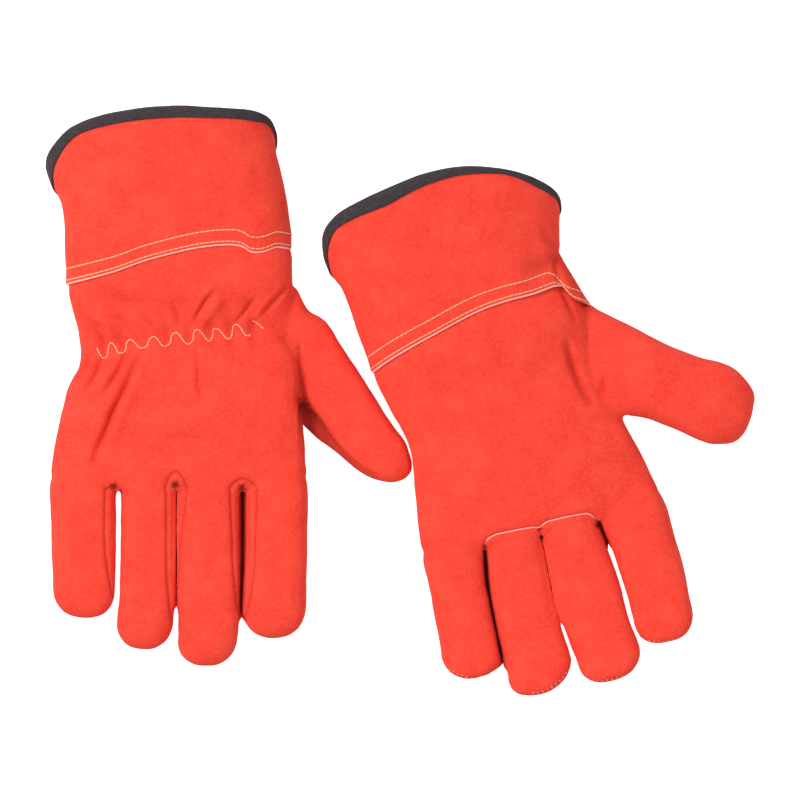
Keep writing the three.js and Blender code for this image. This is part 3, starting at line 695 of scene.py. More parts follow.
def shaped(glove, obj):
    """Gives the skin of a hand or cuff its closed gaps, folds, gathers and slow unevenness."""
    points = read_points(obj.data)
    close_gaps(glove, points)
    normals = read_normals(obj.data)
    for path, width, depth in FOLDS[glove.name]:
        crease(glove, points, normals, path, width, depth * sizes().folds)
    points -= normals * (PIT_DEPTH * MM * pits(glove, points) * facing_up(normals))[:, None]
    if glove.back_up:
        gather(glove, points, normals)
    lift = uneven(points, SLOW_WAVES, (0, 0, 0)) + uneven(points, QUICK_WAVES, (3, 1, 7))
    points += normals * (lift * smoothstep(0.0, 0.004, points[:, 2]))[:, None]
    points[:, 2] = np.maximum(points[:, 2], FLOOR_GAP)
    write_points(obj.data, points)


# Cutting a skin into panels along lines where a value is zero. A point whose value is within SNAP
# of zero counts as on the line, and one whose value isn't a number isn't cut.
SNAP = 0.12


def smoothed_layer(bm, name, values, rounds=16):
    """Stores a value for each point, evened out over the skin so that a cut along it runs smoothly."""
    layer = bm.verts.layers.float.new(name)
    ends = np.array([(edge.verts[0].index, edge.verts[1].index) for edge in bm.edges])
    degree = np.bincount(ends.ravel(), minlength=len(values))
    values = np.clip(values, -3.0, 3.0)
    for _ in range(rounds):
        total = np.bincount(ends[:, 0], weights=values[ends[:, 1]], minlength=len(values))
        total += np.bincount(ends[:, 1], weights=values[ends[:, 0]], minlength=len(values))
        values = 0.5 * values + 0.5 * total / np.maximum(degree, 1)
    for vert, value in zip(bm.verts, values):
        vert[layer] = value


def layer_values(bm, name):
    layer = bm.verts.layers.float[name]
    return np.array([vert[layer] for vert in bm.verts])


def cut_along(bm, value_of=None, layer=None):
    """Cuts the skin where a function of its points, or a stored value, is zero."""
    bm.verts.ensure_lookup_table()
    coords = np.array([v.co for v in bm.verts]) / MM
    values = layer_values(bm, layer) if layer else value_of(coords)
    values[np.abs(values) < SNAP] = 0.0
    for vert, value in zip(bm.verts, values):
        vert.tag = value == 0.0
    crossing = [edge for edge in bm.edges if values[edge.verts[0].index] * values[edge.verts[1].index] < 0.0]
    made = []
    for edge in crossing:
        first = edge.verts[0]
        a = values[first.index]
        b = values[edge.verts[1].index]
        made.append(bmesh.utils.edge_split(edge, first, float(a / (a - b)))[1])
    # A dictionary keeps its keys in order, so that every run makes its faces in the same order
    on_line = list(dict.fromkeys(made + [v for v in bm.verts if v.tag]))
    for vert in bm.verts:
        vert.tag = False
    bmesh.ops.connect_verts(bm, verts=on_line, check_degenerate=False)
    bm.verts.index_update()


def face_centres(bm):
    return np.array([face.calc_center_median() for face in bm.faces]) / MM


def delete_faces(bm, gone):
    bmesh.ops.delete(bm, geom=[face for face, past in zip(bm.faces, gone) if past], context="FACES")


# The thumb's seams lie between these places along the glove
THUMB_FROM = -6.0
THUMB_TO = 100.0


def root_line(glove, along):
    """Where the thumb begins, across the hand."""
    edge = np.interp(along, [row[0] for row in glove.body], [row[2] for row in glove.body])
    return edge + 1.6 + 6.0 * smoothstep(34.0, 16.0, along)


def gap_distance(glove, coords, widths, tops):
    """Distance in plan from the nearest gap between fingers, less the half width of the strip there."""
    x, y = coords[:, 0], coords[:, 1]
    best = np.full(len(coords), 1e3)
    for number, gap in enumerate(glove.gaps):
        top = tops[number]
        left, right, left_low, right_low = widths[number]
        far = smoothstep(-4.0, -30.0, y)
        width = np.where(x < along_line(gap, y), left + (left_low - left) * far,
                         right + (right_low - right) * far)
        end = max(glove.fingers[number][-1][0], glove.fingers[number + 1][-1][0]) + 7.0
        taper = np.sqrt(np.clip((top - y) / (top + 2.5), 0.0, 1.0))
        strip = width * taper * np.clip((y - end) / 30.0, 0.0, 1.0) ** 0.4
        strip = np.where((y > top) | (y < end), -1.0, strip)
        best = np.minimum(best, np.abs(x - along_line(gap, y)) - strip)
    return best


def seam_level(glove, coords):
    """Height of the side seam near each point, on the hand, the fingers and the thumb."""
    x, y = coords[:, 0], coords[:, 1]
    hand = middle_height(glove, y)
    start = (np.array(glove.thumb[0][:2]) + np.array(glove.thumb[0][2:4])) / 2
    end = (np.array(glove.thumb[-1][:2]) + np.array(glove.thumb[-1][2:4])) / 2
    axis = (end - start) / np.linalg.norm(end - start)
    offset = coords[:, :2] - start
    share = np.clip(offset @ axis / np.linalg.norm(end - start), 0.0, 1.0)
    side = offset[:, 0] * axis[1] - offset[:, 1] * axis[0]
    lift = (4.6 if glove.back_up else 1.5) * smoothstep(-6.0, 10.0, side) * (1.0 - share ** 2)
    mids = [(section[4] + section[5]) / 2 for section in glove.thumb]
    thumb = np.interp(share, np.linspace(0.0, 1.0, len(mids)), mids) + lift
    on_thumb = smoothstep(-5.0, 8.0, x - root_line(glove, y)) * (y < THUMB_TO)
    return hand + (thumb - hand) * on_thumb


# On the palm the strips between the fingers are narrow and end below the crotches
PALM_STRIPS = ((2.2, 2.2, 2.2, 2.2),) * 3
PALM_TOPS = (-3.6, -2.6, -4.6)


def back_side(glove, coords):
    """Above zero on the back of the glove, outside its fourchettes."""
    height = (coords[:, 2] - seam_level(glove, coords)) * (1.0 if glove.back_up else -1.0)
    return np.minimum(height, gap_distance(glove, coords, glove.strips, glove.seam_top))


def palm_side(glove, coords):
    """Above zero on the palm of the glove, outside its fourchettes."""
    height = (coords[:, 2] - seam_level(glove, coords)) * (-1.0 if glove.back_up else 1.0)
    return np.minimum(height, gap_distance(glove, coords, PALM_STRIPS, PALM_TOPS))


# The seam at the base of the two middle fingers' fronts, in the photograph and in the left-hand
# glove's own frame
FRONT_PATH = [(484, 547), (485.5, 541), (489, 537.5), (496, 534), (515, 530), (532, 527), (539, 527.5),
              (546, 521.5), (564, 517), (580, 514), (587, 513), (592, 515.5), (595, 519), (597, 524.5)]
FRONT_LINE = [tuple(LEFT.local(p)) for p in FRONT_PATH]


def front_seam(glove, x):
    """Where the seam at the base of the two middle fingers' fronts lies across the palm."""
    own = [along_line(gap, 0.0) for gap in glove.gaps]
    measured = [along_line(gap, 0.0) for gap in LEFT.gaps]
    return along_line(FRONT_LINE, np.interp(x, own, measured))


def front_place(glove, coords):
    """Above zero below the seam at the base of the two middle fingers' fronts."""
    return front_seam(glove, coords[:, 0]) - coords[:, 1]


def on_palm(glove, value):
    """A value that only counts on the palm side, near the two middle fingers' fronts."""
    def kept(coords):
        x, y = coords[:, 0], coords[:, 1]
        near = (palm_side(glove, coords) > -0.5) & (y < 12.0)
        near &= (x > along_line(glove.gaps[0], y) - 2.0) & (x < along_line(glove.gaps[2], y) + 2.0)
        return np.where(near, value(coords), np.nan)
    return kept


def gap_place(glove, number):
    """A value that is zero along the middle of a gap, near its crotch."""
    def value(coords):
        x, y = coords[:, 0], coords[:, 1]
        from_gap = x - along_line(glove.gaps[number], y)
        return np.where((y > -8.0) & (y < 5.0), from_gap, np.nan)
    return value


def panel_of(glove, coords, back, palm, past_root):
    """The number of the panel that each point lies on: see PANELS."""
    x, y = coords[:, 0], coords[:, 1]
    thumb = past_root & (y < THUMB_TO) & (y > THUMB_FROM)
    gaps = [along_line(gap, y) for gap in glove.gaps]
    number = np.full(len(coords), 1)
    fourchette = ~back & ~palm
    nearest = np.argmin(np.abs(np.stack([x - gap for gap in gaps])), axis=0)
    number = np.where(fourchette, 5 + nearest, number)
    number = np.where(back, 0, number)
    number = np.where(back & thumb, 4, number)
    front = palm & (front_place(glove, coords) > 0)
    number = np.where(front & (x > gaps[0]) & (x < gaps[1]), 2, number)
    number = np.where(front & (x > gaps[1]) & (x < gaps[2]), 3, number)
    return number


PANELS = ("back", "palm", "ring_front", "middle_front", "thumb_back", "fourchette_little_ring",
          "fourchette_ring_middle", "fourchette_middle_index")


# How far the hand reaches under the cuff from the cuff's cut edge, in millimetres, and the
# sharpest turn of the leather that is shaded as smooth
CUFF_LAP = 13.0
SMOOTH_ANGLE = math.radians(38)
# Fewer faces than this, apart from their panel, are given to the panel round them
STRAY_FACES = 150


def wrist_end(glove, coords):
    """Above zero on the part of the hand that reaches no further than under the cuff."""
    return along_line(glove.edge_line, coords[:, 0]) + CUFF_LAP - coords[:, 1]


def finish(obj, glove, slot, *nodes):
    """Puts a finished piece in its place, on its body and in place of its CAD nodes."""
    if slot == "leather":
        # Leather is darkened with painted shade in its folds, gaps, pits and shaded places
        add_painted_shade(obj.data, painted_shade_of(glove, read_points(obj.data), read_normals(obj.data)))
    obj.data.transform(glove.place)
    if slot == "leather":
        only(obj)
        bpy.ops.object.shade_smooth_by_angle(angle=SMOOTH_ANGLE)
    else:
        obj.data.shade_smooth()
    ride(obj, glove)
    if nodes:
        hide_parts(*nodes)


def ride(obj, glove):
    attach(obj, glove.body_name)


def cut_panels(glove, hand):
    """Cuts the skin along its seams, numbers the panels and returns the points on the seams."""
    bm = bmesh.new()
    bm.from_mesh(hand.data)
    coords = np.array([v.co for v in bm.verts]) / MM
    smoothed_layer(bm, "back", back_side(glove, coords))
    smoothed_layer(bm, "palm", palm_side(glove, coords))
    smoothed_layer(bm, "root", coords[:, 0] - root_line(glove, coords[:, 1]))
    cut_along(bm, layer="back")
    cut_along(bm, layer="palm")

    def thumb_root(coords):
        along = coords[:, 1]
        near = (layer_values(bm, "back") > -SNAP - 0.01) & (along > THUMB_FROM) & (along < THUMB_TO)
        return np.where(near, layer_values(bm, "root"), np.nan)

    cut_along(bm, on_palm(glove, lambda c: front_place(glove, c)))
    for number in range(len(glove.gaps)):
        cut_along(bm, on_palm(glove, gap_place(glove, number)))
    cut_along(bm, thumb_root)
    cut_along(bm, lambda c: wrist_end(glove, c))
    corners = [[vert.index for vert in face.verts] for face in bm.faces]

    def side_of(name):
        values = layer_values(bm, name)
        return np.array([values[c].mean() for c in corners]) > 0

    centres = face_centres(bm)
    numbers = panel_of(glove, centres, side_of("back"), side_of("palm"), side_of("root"))
    for face, number in zip(bm.faces, numbers):
        face.material_index = int(number)
    join_islands(bm)
    delete_faces(bm, wrist_end(glove, centres) < 0)
    on_seam = set()
    for edge in bm.edges:
        faces = edge.link_faces
        if len(faces) == 2 and faces[0].material_index != faces[1].material_index:
            on_seam.update(edge.verts)
    bm.verts.index_update()
    seam_verts = [vert.index for vert in bm.verts if vert in on_seam]
    numbers = [face.material_index for face in bm.faces]
    bm.to_mesh(hand.data)
    bm.free()
    hand.data.materials.clear()
    for name in PANELS:
        hand.data.materials.append(bpy.data.materials.get(name) or bpy.data.materials.new(name))
    hand.data.polygons.foreach_set("material_index", numbers)
    return seam_verts


def make_hand(glove):
    hand = hand_surface(glove, 0.0, sizes().voxel, 7)
    seam_verts = cut_panels(glove, hand)
    shaped(glove, hand)
    draw_in(glove, hand, seam_verts)
    only(hand)
    bpy.ops.object.mode_set(mode="EDIT")
    bpy.ops.mesh.separate(type="MATERIAL")
    bpy.ops.object.mode_set(mode="OBJECT")
    for obj in list(bpy.context.selected_objects):
        piece = f"{glove.name}_{obj.data.materials[0].name}"
        obj.name = piece + "_suede"
        obj.data.materials.clear()
        obj.data.materials.append(suede_material())
        modify(obj, "SOLIDIFY", thickness=sizes().leather, offset=-1.0, use_rim=True)
        finish(obj, glove, "leather", piece)


def join_islands(bm):
    """Gives stray faces at the ends of seams to the panel round them."""
    seen = set()
    for start in bm.faces:
        if start in seen:
            continue
        island = {start}
        edge_of = []
        todo = [start]
        while todo:
            face = todo.pop()
            for edge in face.edges:
                for other in edge.link_faces:
                    if other.material_index != start.material_index:
                        edge_of.append(other.material_index)
                    elif other not in island:
                        island.add(other)
                        todo.append(other)
        seen |= island
        if len(island) < STRAY_FACES and edge_of:
            number = max(set(edge_of), key=edge_of.count)
            for face in island:
                face.material_index = number


# How dark the painted shade in a seam's groove is, and over what distance in metres
SEAM_DARK = 0.38
SEAM_DARK_REACH = 0.0006


def draw_in(glove, obj, seam_verts):
    """Draws the leather in along its seams and paints shade into the grooves, but not at the thumb's root or
    in a gap that is shut.
    """
    points = read_points(obj.data)
    normals = read_normals(obj.data)
    tree = KDTree(len(seam_verts))
    for number, index in enumerate(seam_verts):
        tree.insert(points[index], number)
    tree.balance()
    distance = np.array([tree.find(p)[2] for p in points])
    x, y, z = (points / MM).T
    shown = 1.0 - smoothstep(50.0, 64.0, y) * smoothstep(46.0, 50.0, x) * facing_up(normals)
    for gap, closing in zip(glove.gaps, glove.closing):
        low = smoothstep(3.0, -1.0, z - middle_height(glove, y)) * (y < -2.0)
        shown *= 1.0 - low * np.exp(-((x - along_line(gap, y)) / 3.0) ** 2) * along_line(closing, y)
    depth = sizes().groove * np.clip(1.0 - distance / sizes().groove_reach, 0.0, 1.0) ** 2 * shown
    # Painted shade in the seam grooves
    add_painted_shade(obj.data, SEAM_DARK * np.exp(-(distance / SEAM_DARK_REACH) ** 2) * shown)
    points -= normals * depth[:, None]
    write_points(obj.data, points)


# The cuff, as rings from its cut edge to its rim
CUFF_SIDES = 176
CUFF_RINGS = 54
# How much of the undyed cut edge shows below the cuff, in millimetres, and the share by which the
# leather thins towards it
EDGE_SHOWN = 0.9
EDGE_THINNER = 0.6


def edge_shown(glove, x):
    """How much of the undyed edge shows, in millimetres: none past the fold of the left-hand cuff."""
    past = smoothstep(33.0, 36.5, x) if not glove.back_up else 0.0 * x
    return EDGE_SHOWN * (1.0 - past)


def cuff_points(glove, inset=0.0, start=0.0, stop=1.0, rings=CUFF_RINGS):
    """Rings of the cuff in metres, from share start to share stop of its length."""
    angles = ring_angles(CUFF_SIDES)
    across, upwards = rounded(angles, SECTION_POWER)

    def ring(share):
        sides = ("left", "right", "low", "high")
        left, right, low, high = (float(along_line(glove.cuff[side], share)) for side in sides)
        x = (left + right) / 2 + across * ((right - left) / 2 - inset)
        z = (low + high) / 2 + upwards * ((high - low) / 2 - inset)
        return x, z

    edge_x = ring(0.0)[0]
    edge_y = along_line(curve_through(glove.edge_line, 6), edge_x) + edge_shown(glove, edge_x)
    rim_y = along_line(curve_through(glove.rim, 6), np.degrees(angles))
    out = []
    for number in range(rings):
        share = start + (stop - start) * number / (rings - 1)
        x, z = ring(share)
        y = edge_y + (rim_y - edge_y) * share
        out.append(np.column_stack((x, y, z)) * MM)
    return np.array(out)


def sheet(name, rows, closed=True):
    """A sheet of quads through rows of points. Its faces point outwards when the rows run
    anticlockwise and each row lies further along +Y."""
    count = len(rows[0])
    wrap = count if closed else count - 1
    faces = []
    for i in range(len(rows) - 1):
        for j in range(wrap):
            k = (j + 1) % count
            faces.append((i * count + j, (i + 1) * count + j, (i + 1) * count + k, i * count + k))
    return mesh_object(name, np.concatenate(rows).tolist(), faces)


def cuff_skin(glove, **part):
    """The cuff's rings once they have their folds."""
    rows = cuff_points(glove, **part)
    whole = sheet("cuff", rows)
    shaped(glove, whole)
    points = read_points(whole.data).reshape(rows.shape)
    bpy.data.objects.remove(whole)
    return points


def make_cuff(glove):
    """The two halves of the cuff, which meet in a seam at each side."""
    points = cuff_skin(glove)
    centre = points.mean(axis=1)
    half = CUFF_SIDES // 2
    for upper in (True, False):
        columns = np.arange(half) + (0 if upper else half)
        first = (points[:, columns[0] - 1] + points[:, columns[0]]) / 2
        last = (points[:, (columns[-1] + 1) % CUFF_SIDES] + points[:, columns[-1]]) / 2
        for edge in (first, last):
            edge += unit(centre - edge) * sizes().groove
        grid = np.concatenate((first[:, None], points[:, columns], last[:, None]), axis=1)
        piece = f"{glove.name}_cuff_{'back' if upper == glove.back_up else 'palm'}"
        obj = sheet(piece + "_suede", grid, closed=False)
        obj.data.materials.append(suede_material())
        obj.data.materials.append(cut_edge_material())
        count = len(obj.data.vertices)
        modify(obj, "SOLIDIFY", thickness=sizes().leather, offset=-1.0, material_offset_rim=1, use_rim=True)
        skin = read_points(obj.data)
        outer = slice(0, grid.shape[1])
        inner = slice(count, count + grid.shape[1])
        skin[inner] = (1.0 - EDGE_THINNER) * skin[inner] + EDGE_THINNER * skin[outer]
        skin[inner, 1] -= edge_shown(glove, skin[inner, 0] / MM) * MM
        write_points(obj.data, skin)
        finish(obj, glove, "leather", piece)


def make_cuff_lining(glove):
    rows = cuff_points(glove, inset=1.7, start=0.16, stop=0.99, rings=40)
    obj = sheet(f"{glove.name}_cuff_canvas", rows)
    shaped(glove, obj)
    obj.data.materials.append(canvas_material())
    modify(obj, "SOLIDIFY", thickness=0.0007, offset=-1.0)
    finish(obj, glove, "canvas", f"{glove.name}_cuff_lining")


# The width that the tables of the tape are drawn for, in metres, and the width that its lower side
# has all along, in millimetres
TAPE_DRAWN = 0.0058
TAPE_UNDER = 5.2


def make_binding(glove):
    """A folded tape round the mouth: outside, over the rim and down inside."""
    points = cuff_skin(glove, start=0.8, rings=13)
    ring = points[-1]
    back = unit(ring - points[-4])
    tangent = unit(np.roll(ring, -1, axis=0) - np.roll(ring, 1, axis=0))
    outwards = unit(np.cross(tangent, back))
    outwards *= np.sign(np.sum(outwards * (ring - ring.mean(axis=0)), axis=1))[:, None]
    forward = np.cross(outwards, tangent)
    forward *= np.sign(np.sum(forward * back, axis=1))[:, None]
    steps = np.linalg.norm(np.diff(points[::-1], axis=0), axis=2)
    runs = np.concatenate((np.zeros((1, CUFF_SIDES)), np.cumsum(steps, axis=0)))
    under = smoothstep(0.0, 0.5, -np.sin(ring_angles(CUFF_SIDES)))
    shown = along_line(glove.tape, ring[:, 0] / MM)
    width = (shown + (TAPE_UNDER - shown) * under) * MM * sizes().tape / TAPE_DRAWN
    thick = sizes().tape_thickness
    inner = sizes().leather + 0.0012
    fold = thick * 1.1

    def behind(share):
        """The cuff's skin at a share of the tape's width behind the rim."""
        return np.array([[np.interp(share * width[j], runs[:, j], points[::-1, j, i]) for i in range(3)]
                         for j in range(CUFF_SIDES)])

    # Each row is a share of the width behind the rim, or metres in front of it, and metres outwards
    profile = [(-1.0, 0.1 * thick), (-1.0, 0.75 * thick), (-0.85, thick), (-0.5, thick), (-0.25, thick),
               (0.0, thick), (0.8 * fold, 0.4 * thick), (fold, -inner / 2),
               (0.8 * fold, -inner - 0.4 * thick), (0.0, -inner - thick), (-0.5, -inner - thick),
               (-1.0, -inner - 0.8 * thick), (-1.0, -inner - 0.1 * thick), (-0.4, -inner), (0.0, -inner),
               (0.0, 0.05 * thick), (-0.4, 0.05 * thick)]
    rows = [(ring + forward * a if a > 0 else behind(-a)) + outwards * b for a, b in profile]
    obj = sheet(f"{glove.name}_binding_tape", np.array(rows + rows[:1]))
    face_outwards(obj, merge=0.00001)
    obj.data.materials.append(tape_material())
    finish(obj, glove, "tape", f"{glove.name}_cuff_binding")


# How far inside the leather the lining lies, and how far it ends before the leather, in millimetres
LINING_INSET = 2.4
LINING_SHORTER = 0.6


def make_lining(glove):
    obj = hand_surface(glove, LINING_INSET, 0.0018, 6)
    bm = bmesh.new()
    bm.from_mesh(obj.data)
    cut_along(bm, lambda c: wrist_end(glove, c) - LINING_SHORTER)
    delete_faces(bm, wrist_end(glove, face_centres(bm)) - LINING_SHORTER < 0)
    bm.to_mesh(obj.data)
    bm.free()
    shaped(glove, obj)
    obj.name = f"{glove.name}_hand_fleece"
    obj.data.materials.clear()
    obj.data.materials.append(fleece_material())
    modify(obj, "SOLIDIFY", thickness=0.0009, offset=-1.0)
    finish(obj, glove, "fleece", f"{glove.name}_hand_lining")


# The elastic: its length and width in metres, how it slants, and its rows and columns of points
ELASTIC_LENGTH = 0.076
ELASTIC_WIDTH = 0.0076
ELASTIC_SLANT = 0.13
ELASTIC_ROWS = 4
ELASTIC_COLUMNS = 160
# Where the elastic is looked for, and where it lies if there is no leather over it, in metres
INSIDE_HEIGHT = 0.015
LOOSE_HEIGHT = 0.012


def make_elastic(glove):
    """A ribbed band on the inside of the back of the wrist."""
    low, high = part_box(f"{glove.name}_wrist_elastic")
    inverse = glove.place.inverted()
    corners = np.array([inverse @ Vector((x, y, low[2]))
                        for x in (low[0], high[0]) for y in (low[1], high[1])])
    middle_x, middle_y = corners[:, :2].mean(axis=0)
    hand = bpy.data.objects[f"{glove.name}_back_suede"]
    tree = BVHTree.FromObject(hand, bpy.context.evaluated_depsgraph_get())
    sign = 1.0 if glove.back_up else -1.0

    def band_point(i, j):
        x = middle_x + (j / ELASTIC_COLUMNS - 0.5) * ELASTIC_LENGTH
        y = middle_y + (x - middle_x) * ELASTIC_SLANT + (i / ELASTIC_ROWS - 0.5) * ELASTIC_WIDTH
        hit = tree.ray_cast(glove.place @ Vector((x, y, INSIDE_HEIGHT)), Vector((0, 0, sign)))
        z = hit[0].z if hit[0] is not None else INSIDE_HEIGHT + sign * LOOSE_HEIGHT
        ripple = 0.00012 * math.sin(j * 1.9)
        return x, y, z - sign * (0.0006 + ripple)

    rows = [[band_point(i, j) for j in range(ELASTIC_COLUMNS + 1)] for i in range(ELASTIC_ROWS + 1)]
    obj = sheet(f"{glove.name}_elastic_band", np.array(rows), closed=False)
    obj.data.materials.append(elastic_material())
    modify(obj, "SOLIDIFY", thickness=0.0008, offset=0.0)
    finish(obj, glove, "elastic", f"{glove.name}_wrist_elastic")


# Stitches: short lengths of thread laid on a surface. Each ring of a stitch is its place along the
# stitch, its share of the thread's thickness and its height in half thicknesses.
STITCH_RINGS = ((-0.5, 0.4, -0.9), (-0.43, 0.85, -0.1), (-0.2, 1.0, 0.3), (0.2, 1.0, 0.3),
                (0.43, 0.85, -0.1), (0.5, 0.4, -0.9))
STITCH_SIDES = 6
# Places of the two rows above the cut edge of the cuff, in millimetres
ROW_PLACES = (1.3, 6.9)
# The row of waves over the elastic, with its loose end, and the pitch and length of its stitches
WAVE_PATH = [(98, 348), (100.5, 354), (104, 358), (108, 356), (109.5, 347), (112, 343), (115.5, 346),
             (119, 352.5), (123, 353), (126.5, 350), (127.5, 343), (131, 340), (135, 342), (140, 347.5),
             (144, 348), (148, 346), (150, 340), (154, 337), (158, 339), (163, 345.5), (167, 346),
             (171, 343), (172.5, 336), (176, 333), (180, 335), (185.5, 342.5), (190, 344), (193.5, 340),
             (194.5, 333), (197, 330), (201, 331.5), (206.5, 338.5), (210, 341), (213, 337), (214, 330),
             (217, 329), (221, 331), (226, 337.5), (230, 339), (232.5, 335), (233.5, 328), (236, 325),
             (240, 326.5), (245, 334), (249, 336), (252, 333)]
WAVE_END = [(253.5, 321), (258, 323.5), (263, 328), (267, 327.5)]
WAVE_PITCH = 0.0017
WAVE_STITCH = 0.00185
# On the left-hand glove the waves lie this much further across, in millimetres
WAVE_SHIFT = np.array((-5.5, 0.0))
# The small stitches that show at the finger tips of the left-hand glove, their pitch and length
TIP_PATHS = [
    [(448, 668), (457, 673), (470, 677), (482, 676), (491, 671)],
    [(530, 692), (539, 691), (547, 688), (555, 683), (562, 677), (567, 668)],
    [(589, 679), (601, 680), (611, 678), (622, 675), (631, 671), (636, 664)],
    [(647, 640), (660, 641), (672, 639), (682, 635), (689, 629)],
]
TIP_PITCH = 0.0024
TIP_STITCH = 0.0013


def leather_tree(glove):
    """A search tree over the glove's leather, in the scene's frame."""
    points = []
    faces = []
    for obj in bpy.data.objects:
        if obj.type == "MESH" and obj.name.startswith(glove.name) and "suede" in obj.name:
            count = len(points)
            points += [tuple(vert.co) for vert in obj.data.vertices]
            faces += [[count + index for index in polygon.vertices] for polygon in obj.data.polygons]
    return BVHTree.FromPolygons(points, faces)


def drop(glove, tree, path, side, steps=6):
    """A run on the leather under a path given in the glove's frame: its points and normals."""
    points = []
    normals = []
    for x, y in curve_through(path, steps):
        start = glove.place @ Vector((x * MM, y * MM, 0.1 if side > 0 else -0.05))
        place, normal, _, _ = tree.ray_cast(start, Vector((0, 0, -side)))
        if place is not None:
            points.append(np.array(place))
            normals.append(np.array(normal if normal.z * side > 0 else -normal))
    return np.array(points), np.array(normals)


def along_run(points, normals, pitch):
    """Evenly spaced places on a run, each with its direction and normal."""
    steps = np.linalg.norm(np.diff(points, axis=0), axis=1)
    run = np.concatenate(([0.0], np.cumsum(steps)))
    places = np.arange(pitch * 0.5, run[-1] - pitch * 0.4, pitch)

    def at(where, values=points):
        return np.column_stack([np.interp(where, run, values[:, i]) for i in range(3)])

    ways = unit(at(places + pitch * 0.3) - at(places - pitch * 0.3))
    ups = at(places, normals)
    ups -= ways * np.sum(ups * ways, axis=1)[:, None]
    return at(places), ways, unit(ups)


def thread_mesh(name, groups):
    """One mesh of many stitches. A group is places, directions, normals, length and thickness."""
    points = []
    faces = []
    angles = [2 * math.pi * k / STITCH_SIDES for k in range(STITCH_SIDES)]
    rings = len(STITCH_RINGS)
    for places, ways, ups, stitch, thick in groups:
        for place, way, up in zip(places, ways, ups):
            side = np.cross(way, up)
            spokes = [side * math.cos(angle) + up * math.sin(angle) for angle in angles]
            first = len(points)
            for along, width, lift in STITCH_RINGS:
                centre = place + way * along * stitch + up * lift * thick / 2
                points += [centre + spoke * width * thick / 2 for spoke in spokes]
            for i in range(rings - 1):
                for k in range(STITCH_SIDES):
                    a = first + i * STITCH_SIDES + k
                    b = first + i * STITCH_SIDES + (k + 1) % STITCH_SIDES
                    faces.append((a, a + STITCH_SIDES, b + STITCH_SIDES, b))
            faces.append(tuple(first + k for k in range(STITCH_SIDES)))
            faces.append(tuple(first + (rings - 1) * STITCH_SIDES + k for k in reversed(range(STITCH_SIDES))))
    obj = mesh_object(name, [tuple(p) for p in points], faces)
    face_outwards(obj)
    obj.data.materials.append(thread_material())
    obj.data.shade_smooth()
    return obj


def cuff_rows(glove):
    """The two rows of stitches that hold the cuff to the hand, all the way round."""
    points = cuff_skin(glove)
    turn = glove.place.to_3x3()
    groups = []
    for distance in ROW_PLACES:
        line = []
        for column in range(CUFF_SIDES):
            steps = np.linalg.norm(np.diff(points[:, column], axis=0), axis=1)
            run = np.concatenate(([0.0], np.cumsum(steps)))
            line.append([np.interp(distance * MM, run, points[:, column, i]) for i in range(3)])
        line = np.array(line)
        ups = np.cross(np.roll(line, -1, axis=0) - np.roll(line, 1, axis=0), points[6] - points[0])
        ups = unit(ups) * np.where(np.sum(ups * (line - line.mean(axis=0)), axis=1) > 0, 1.0, -1.0)[:, None]
        line = np.array([glove.place @ Vector(p) for p in np.concatenate((line, line[:1]))])
        ups = np.array([turn @ Vector(n) for n in np.concatenate((ups, ups[:1]))])
        groups.append((*along_run(line, ups, sizes().stitch * 0.97), sizes().stitch, sizes().thread))
    return groups


def make_stitches(glove, tree):
    back = 1.0 if glove.back_up else -1.0
    thin = sizes().thread
    groups = cuff_rows(glove)
    for path in (WAVE_PATH, WAVE_END):
        wave = [RIGHT.local(p) for p in path]
        if not glove.back_up:
            wave = [p + WAVE_SHIFT for p in wave]
        points, normals = drop(glove, tree, wave, back, 4)
        groups.append((*along_run(points, normals, WAVE_PITCH), WAVE_STITCH, thin * 1.05))
    for path in TIP_PATHS:
        points, normals = drop(glove, tree, [LEFT.local(p) for p in path], -back)
        if len(points) > 3:
            places, ways, ups = along_run(points, normals, TIP_PITCH)
            groups.append((places, np.cross(ups, ways), ups, TIP_STITCH, thin * 0.7))
    ride(thread_mesh(f"{glove.name}_stitches", groups), glove)


# The raw edge at the base of the two middle fingers' fronts, as places across and up it in millimetres
RAW_EDGE = ((-0.2, -0.5), (-0.16, 0.0), (0.0, 0.12), (0.16, 0.0), (0.2, -0.5))


def make_seam_edge(glove, tree):
    back = 1.0 if glove.back_up else -1.0
    left, right = along_line(glove.gaps[0], 0.0), along_line(glove.gaps[2], 0.0)
    path = [np.array((x, front_seam(glove, x) + 0.1)) for x in np.linspace(left + 0.5, right - 1.1, 60)]
    points, normals = drop(glove, tree, path, -back, 2)
    for _ in range(6):
        points[1:-1] = (points[:-2] + 2 * points[1:-1] + points[2:]) / 4
    ways = unit(np.gradient(points, axis=0))
    normals = unit(normals - ways * np.sum(normals * ways, axis=1)[:, None])
    sides = np.cross(ways, normals)
    rows = [points + (sides * a + normals * b) * MM for a, b in RAW_EDGE]
    obj = sheet(f"{glove.name}_front_cut_edge", np.array(rows), closed=False)
    obj.data.materials.append(cut_edge_material())
    modify(obj, "SOLIDIFY", thickness=0.0004, offset=0.0)
    obj.data.shade_smooth()
    ride(obj, glove)


# Finishes
def material(name):
    """The material of a name and its nodes, which are None where it was made before."""
    found = bpy.data.materials.get(name)
    if found:
        return found, None
    made = bpy.data.materials.new(name)
    made.use_nodes = True
    return made, made.node_tree


def set_sockets(node, sockets):
    for name, value in sockets.items():
        node.inputs[name].default_value = value


def add_node(tree, kind, sockets=None, **settings):
    """A shader node with its settings, and then values on its input sockets."""
    node = tree.nodes.new("ShaderNode" + kind)
    for name, value in settings.items():
        setattr(node, name, value)
    set_sockets(node, sockets or {})
    return node


def wire(tree, start, start_socket, end, end_socket):
    tree.links.new(start.outputs[start_socket], end.inputs[end_socket])


def add_bump(tree, source, socket, strength, distance):
    bump = add_node(tree, "Bump", {"Strength": strength, "Distance": distance})
    wire(tree, source, socket, bump, "Height")
    wire(tree, bump, "Normal", tree.nodes["Principled BSDF"], "Normal")


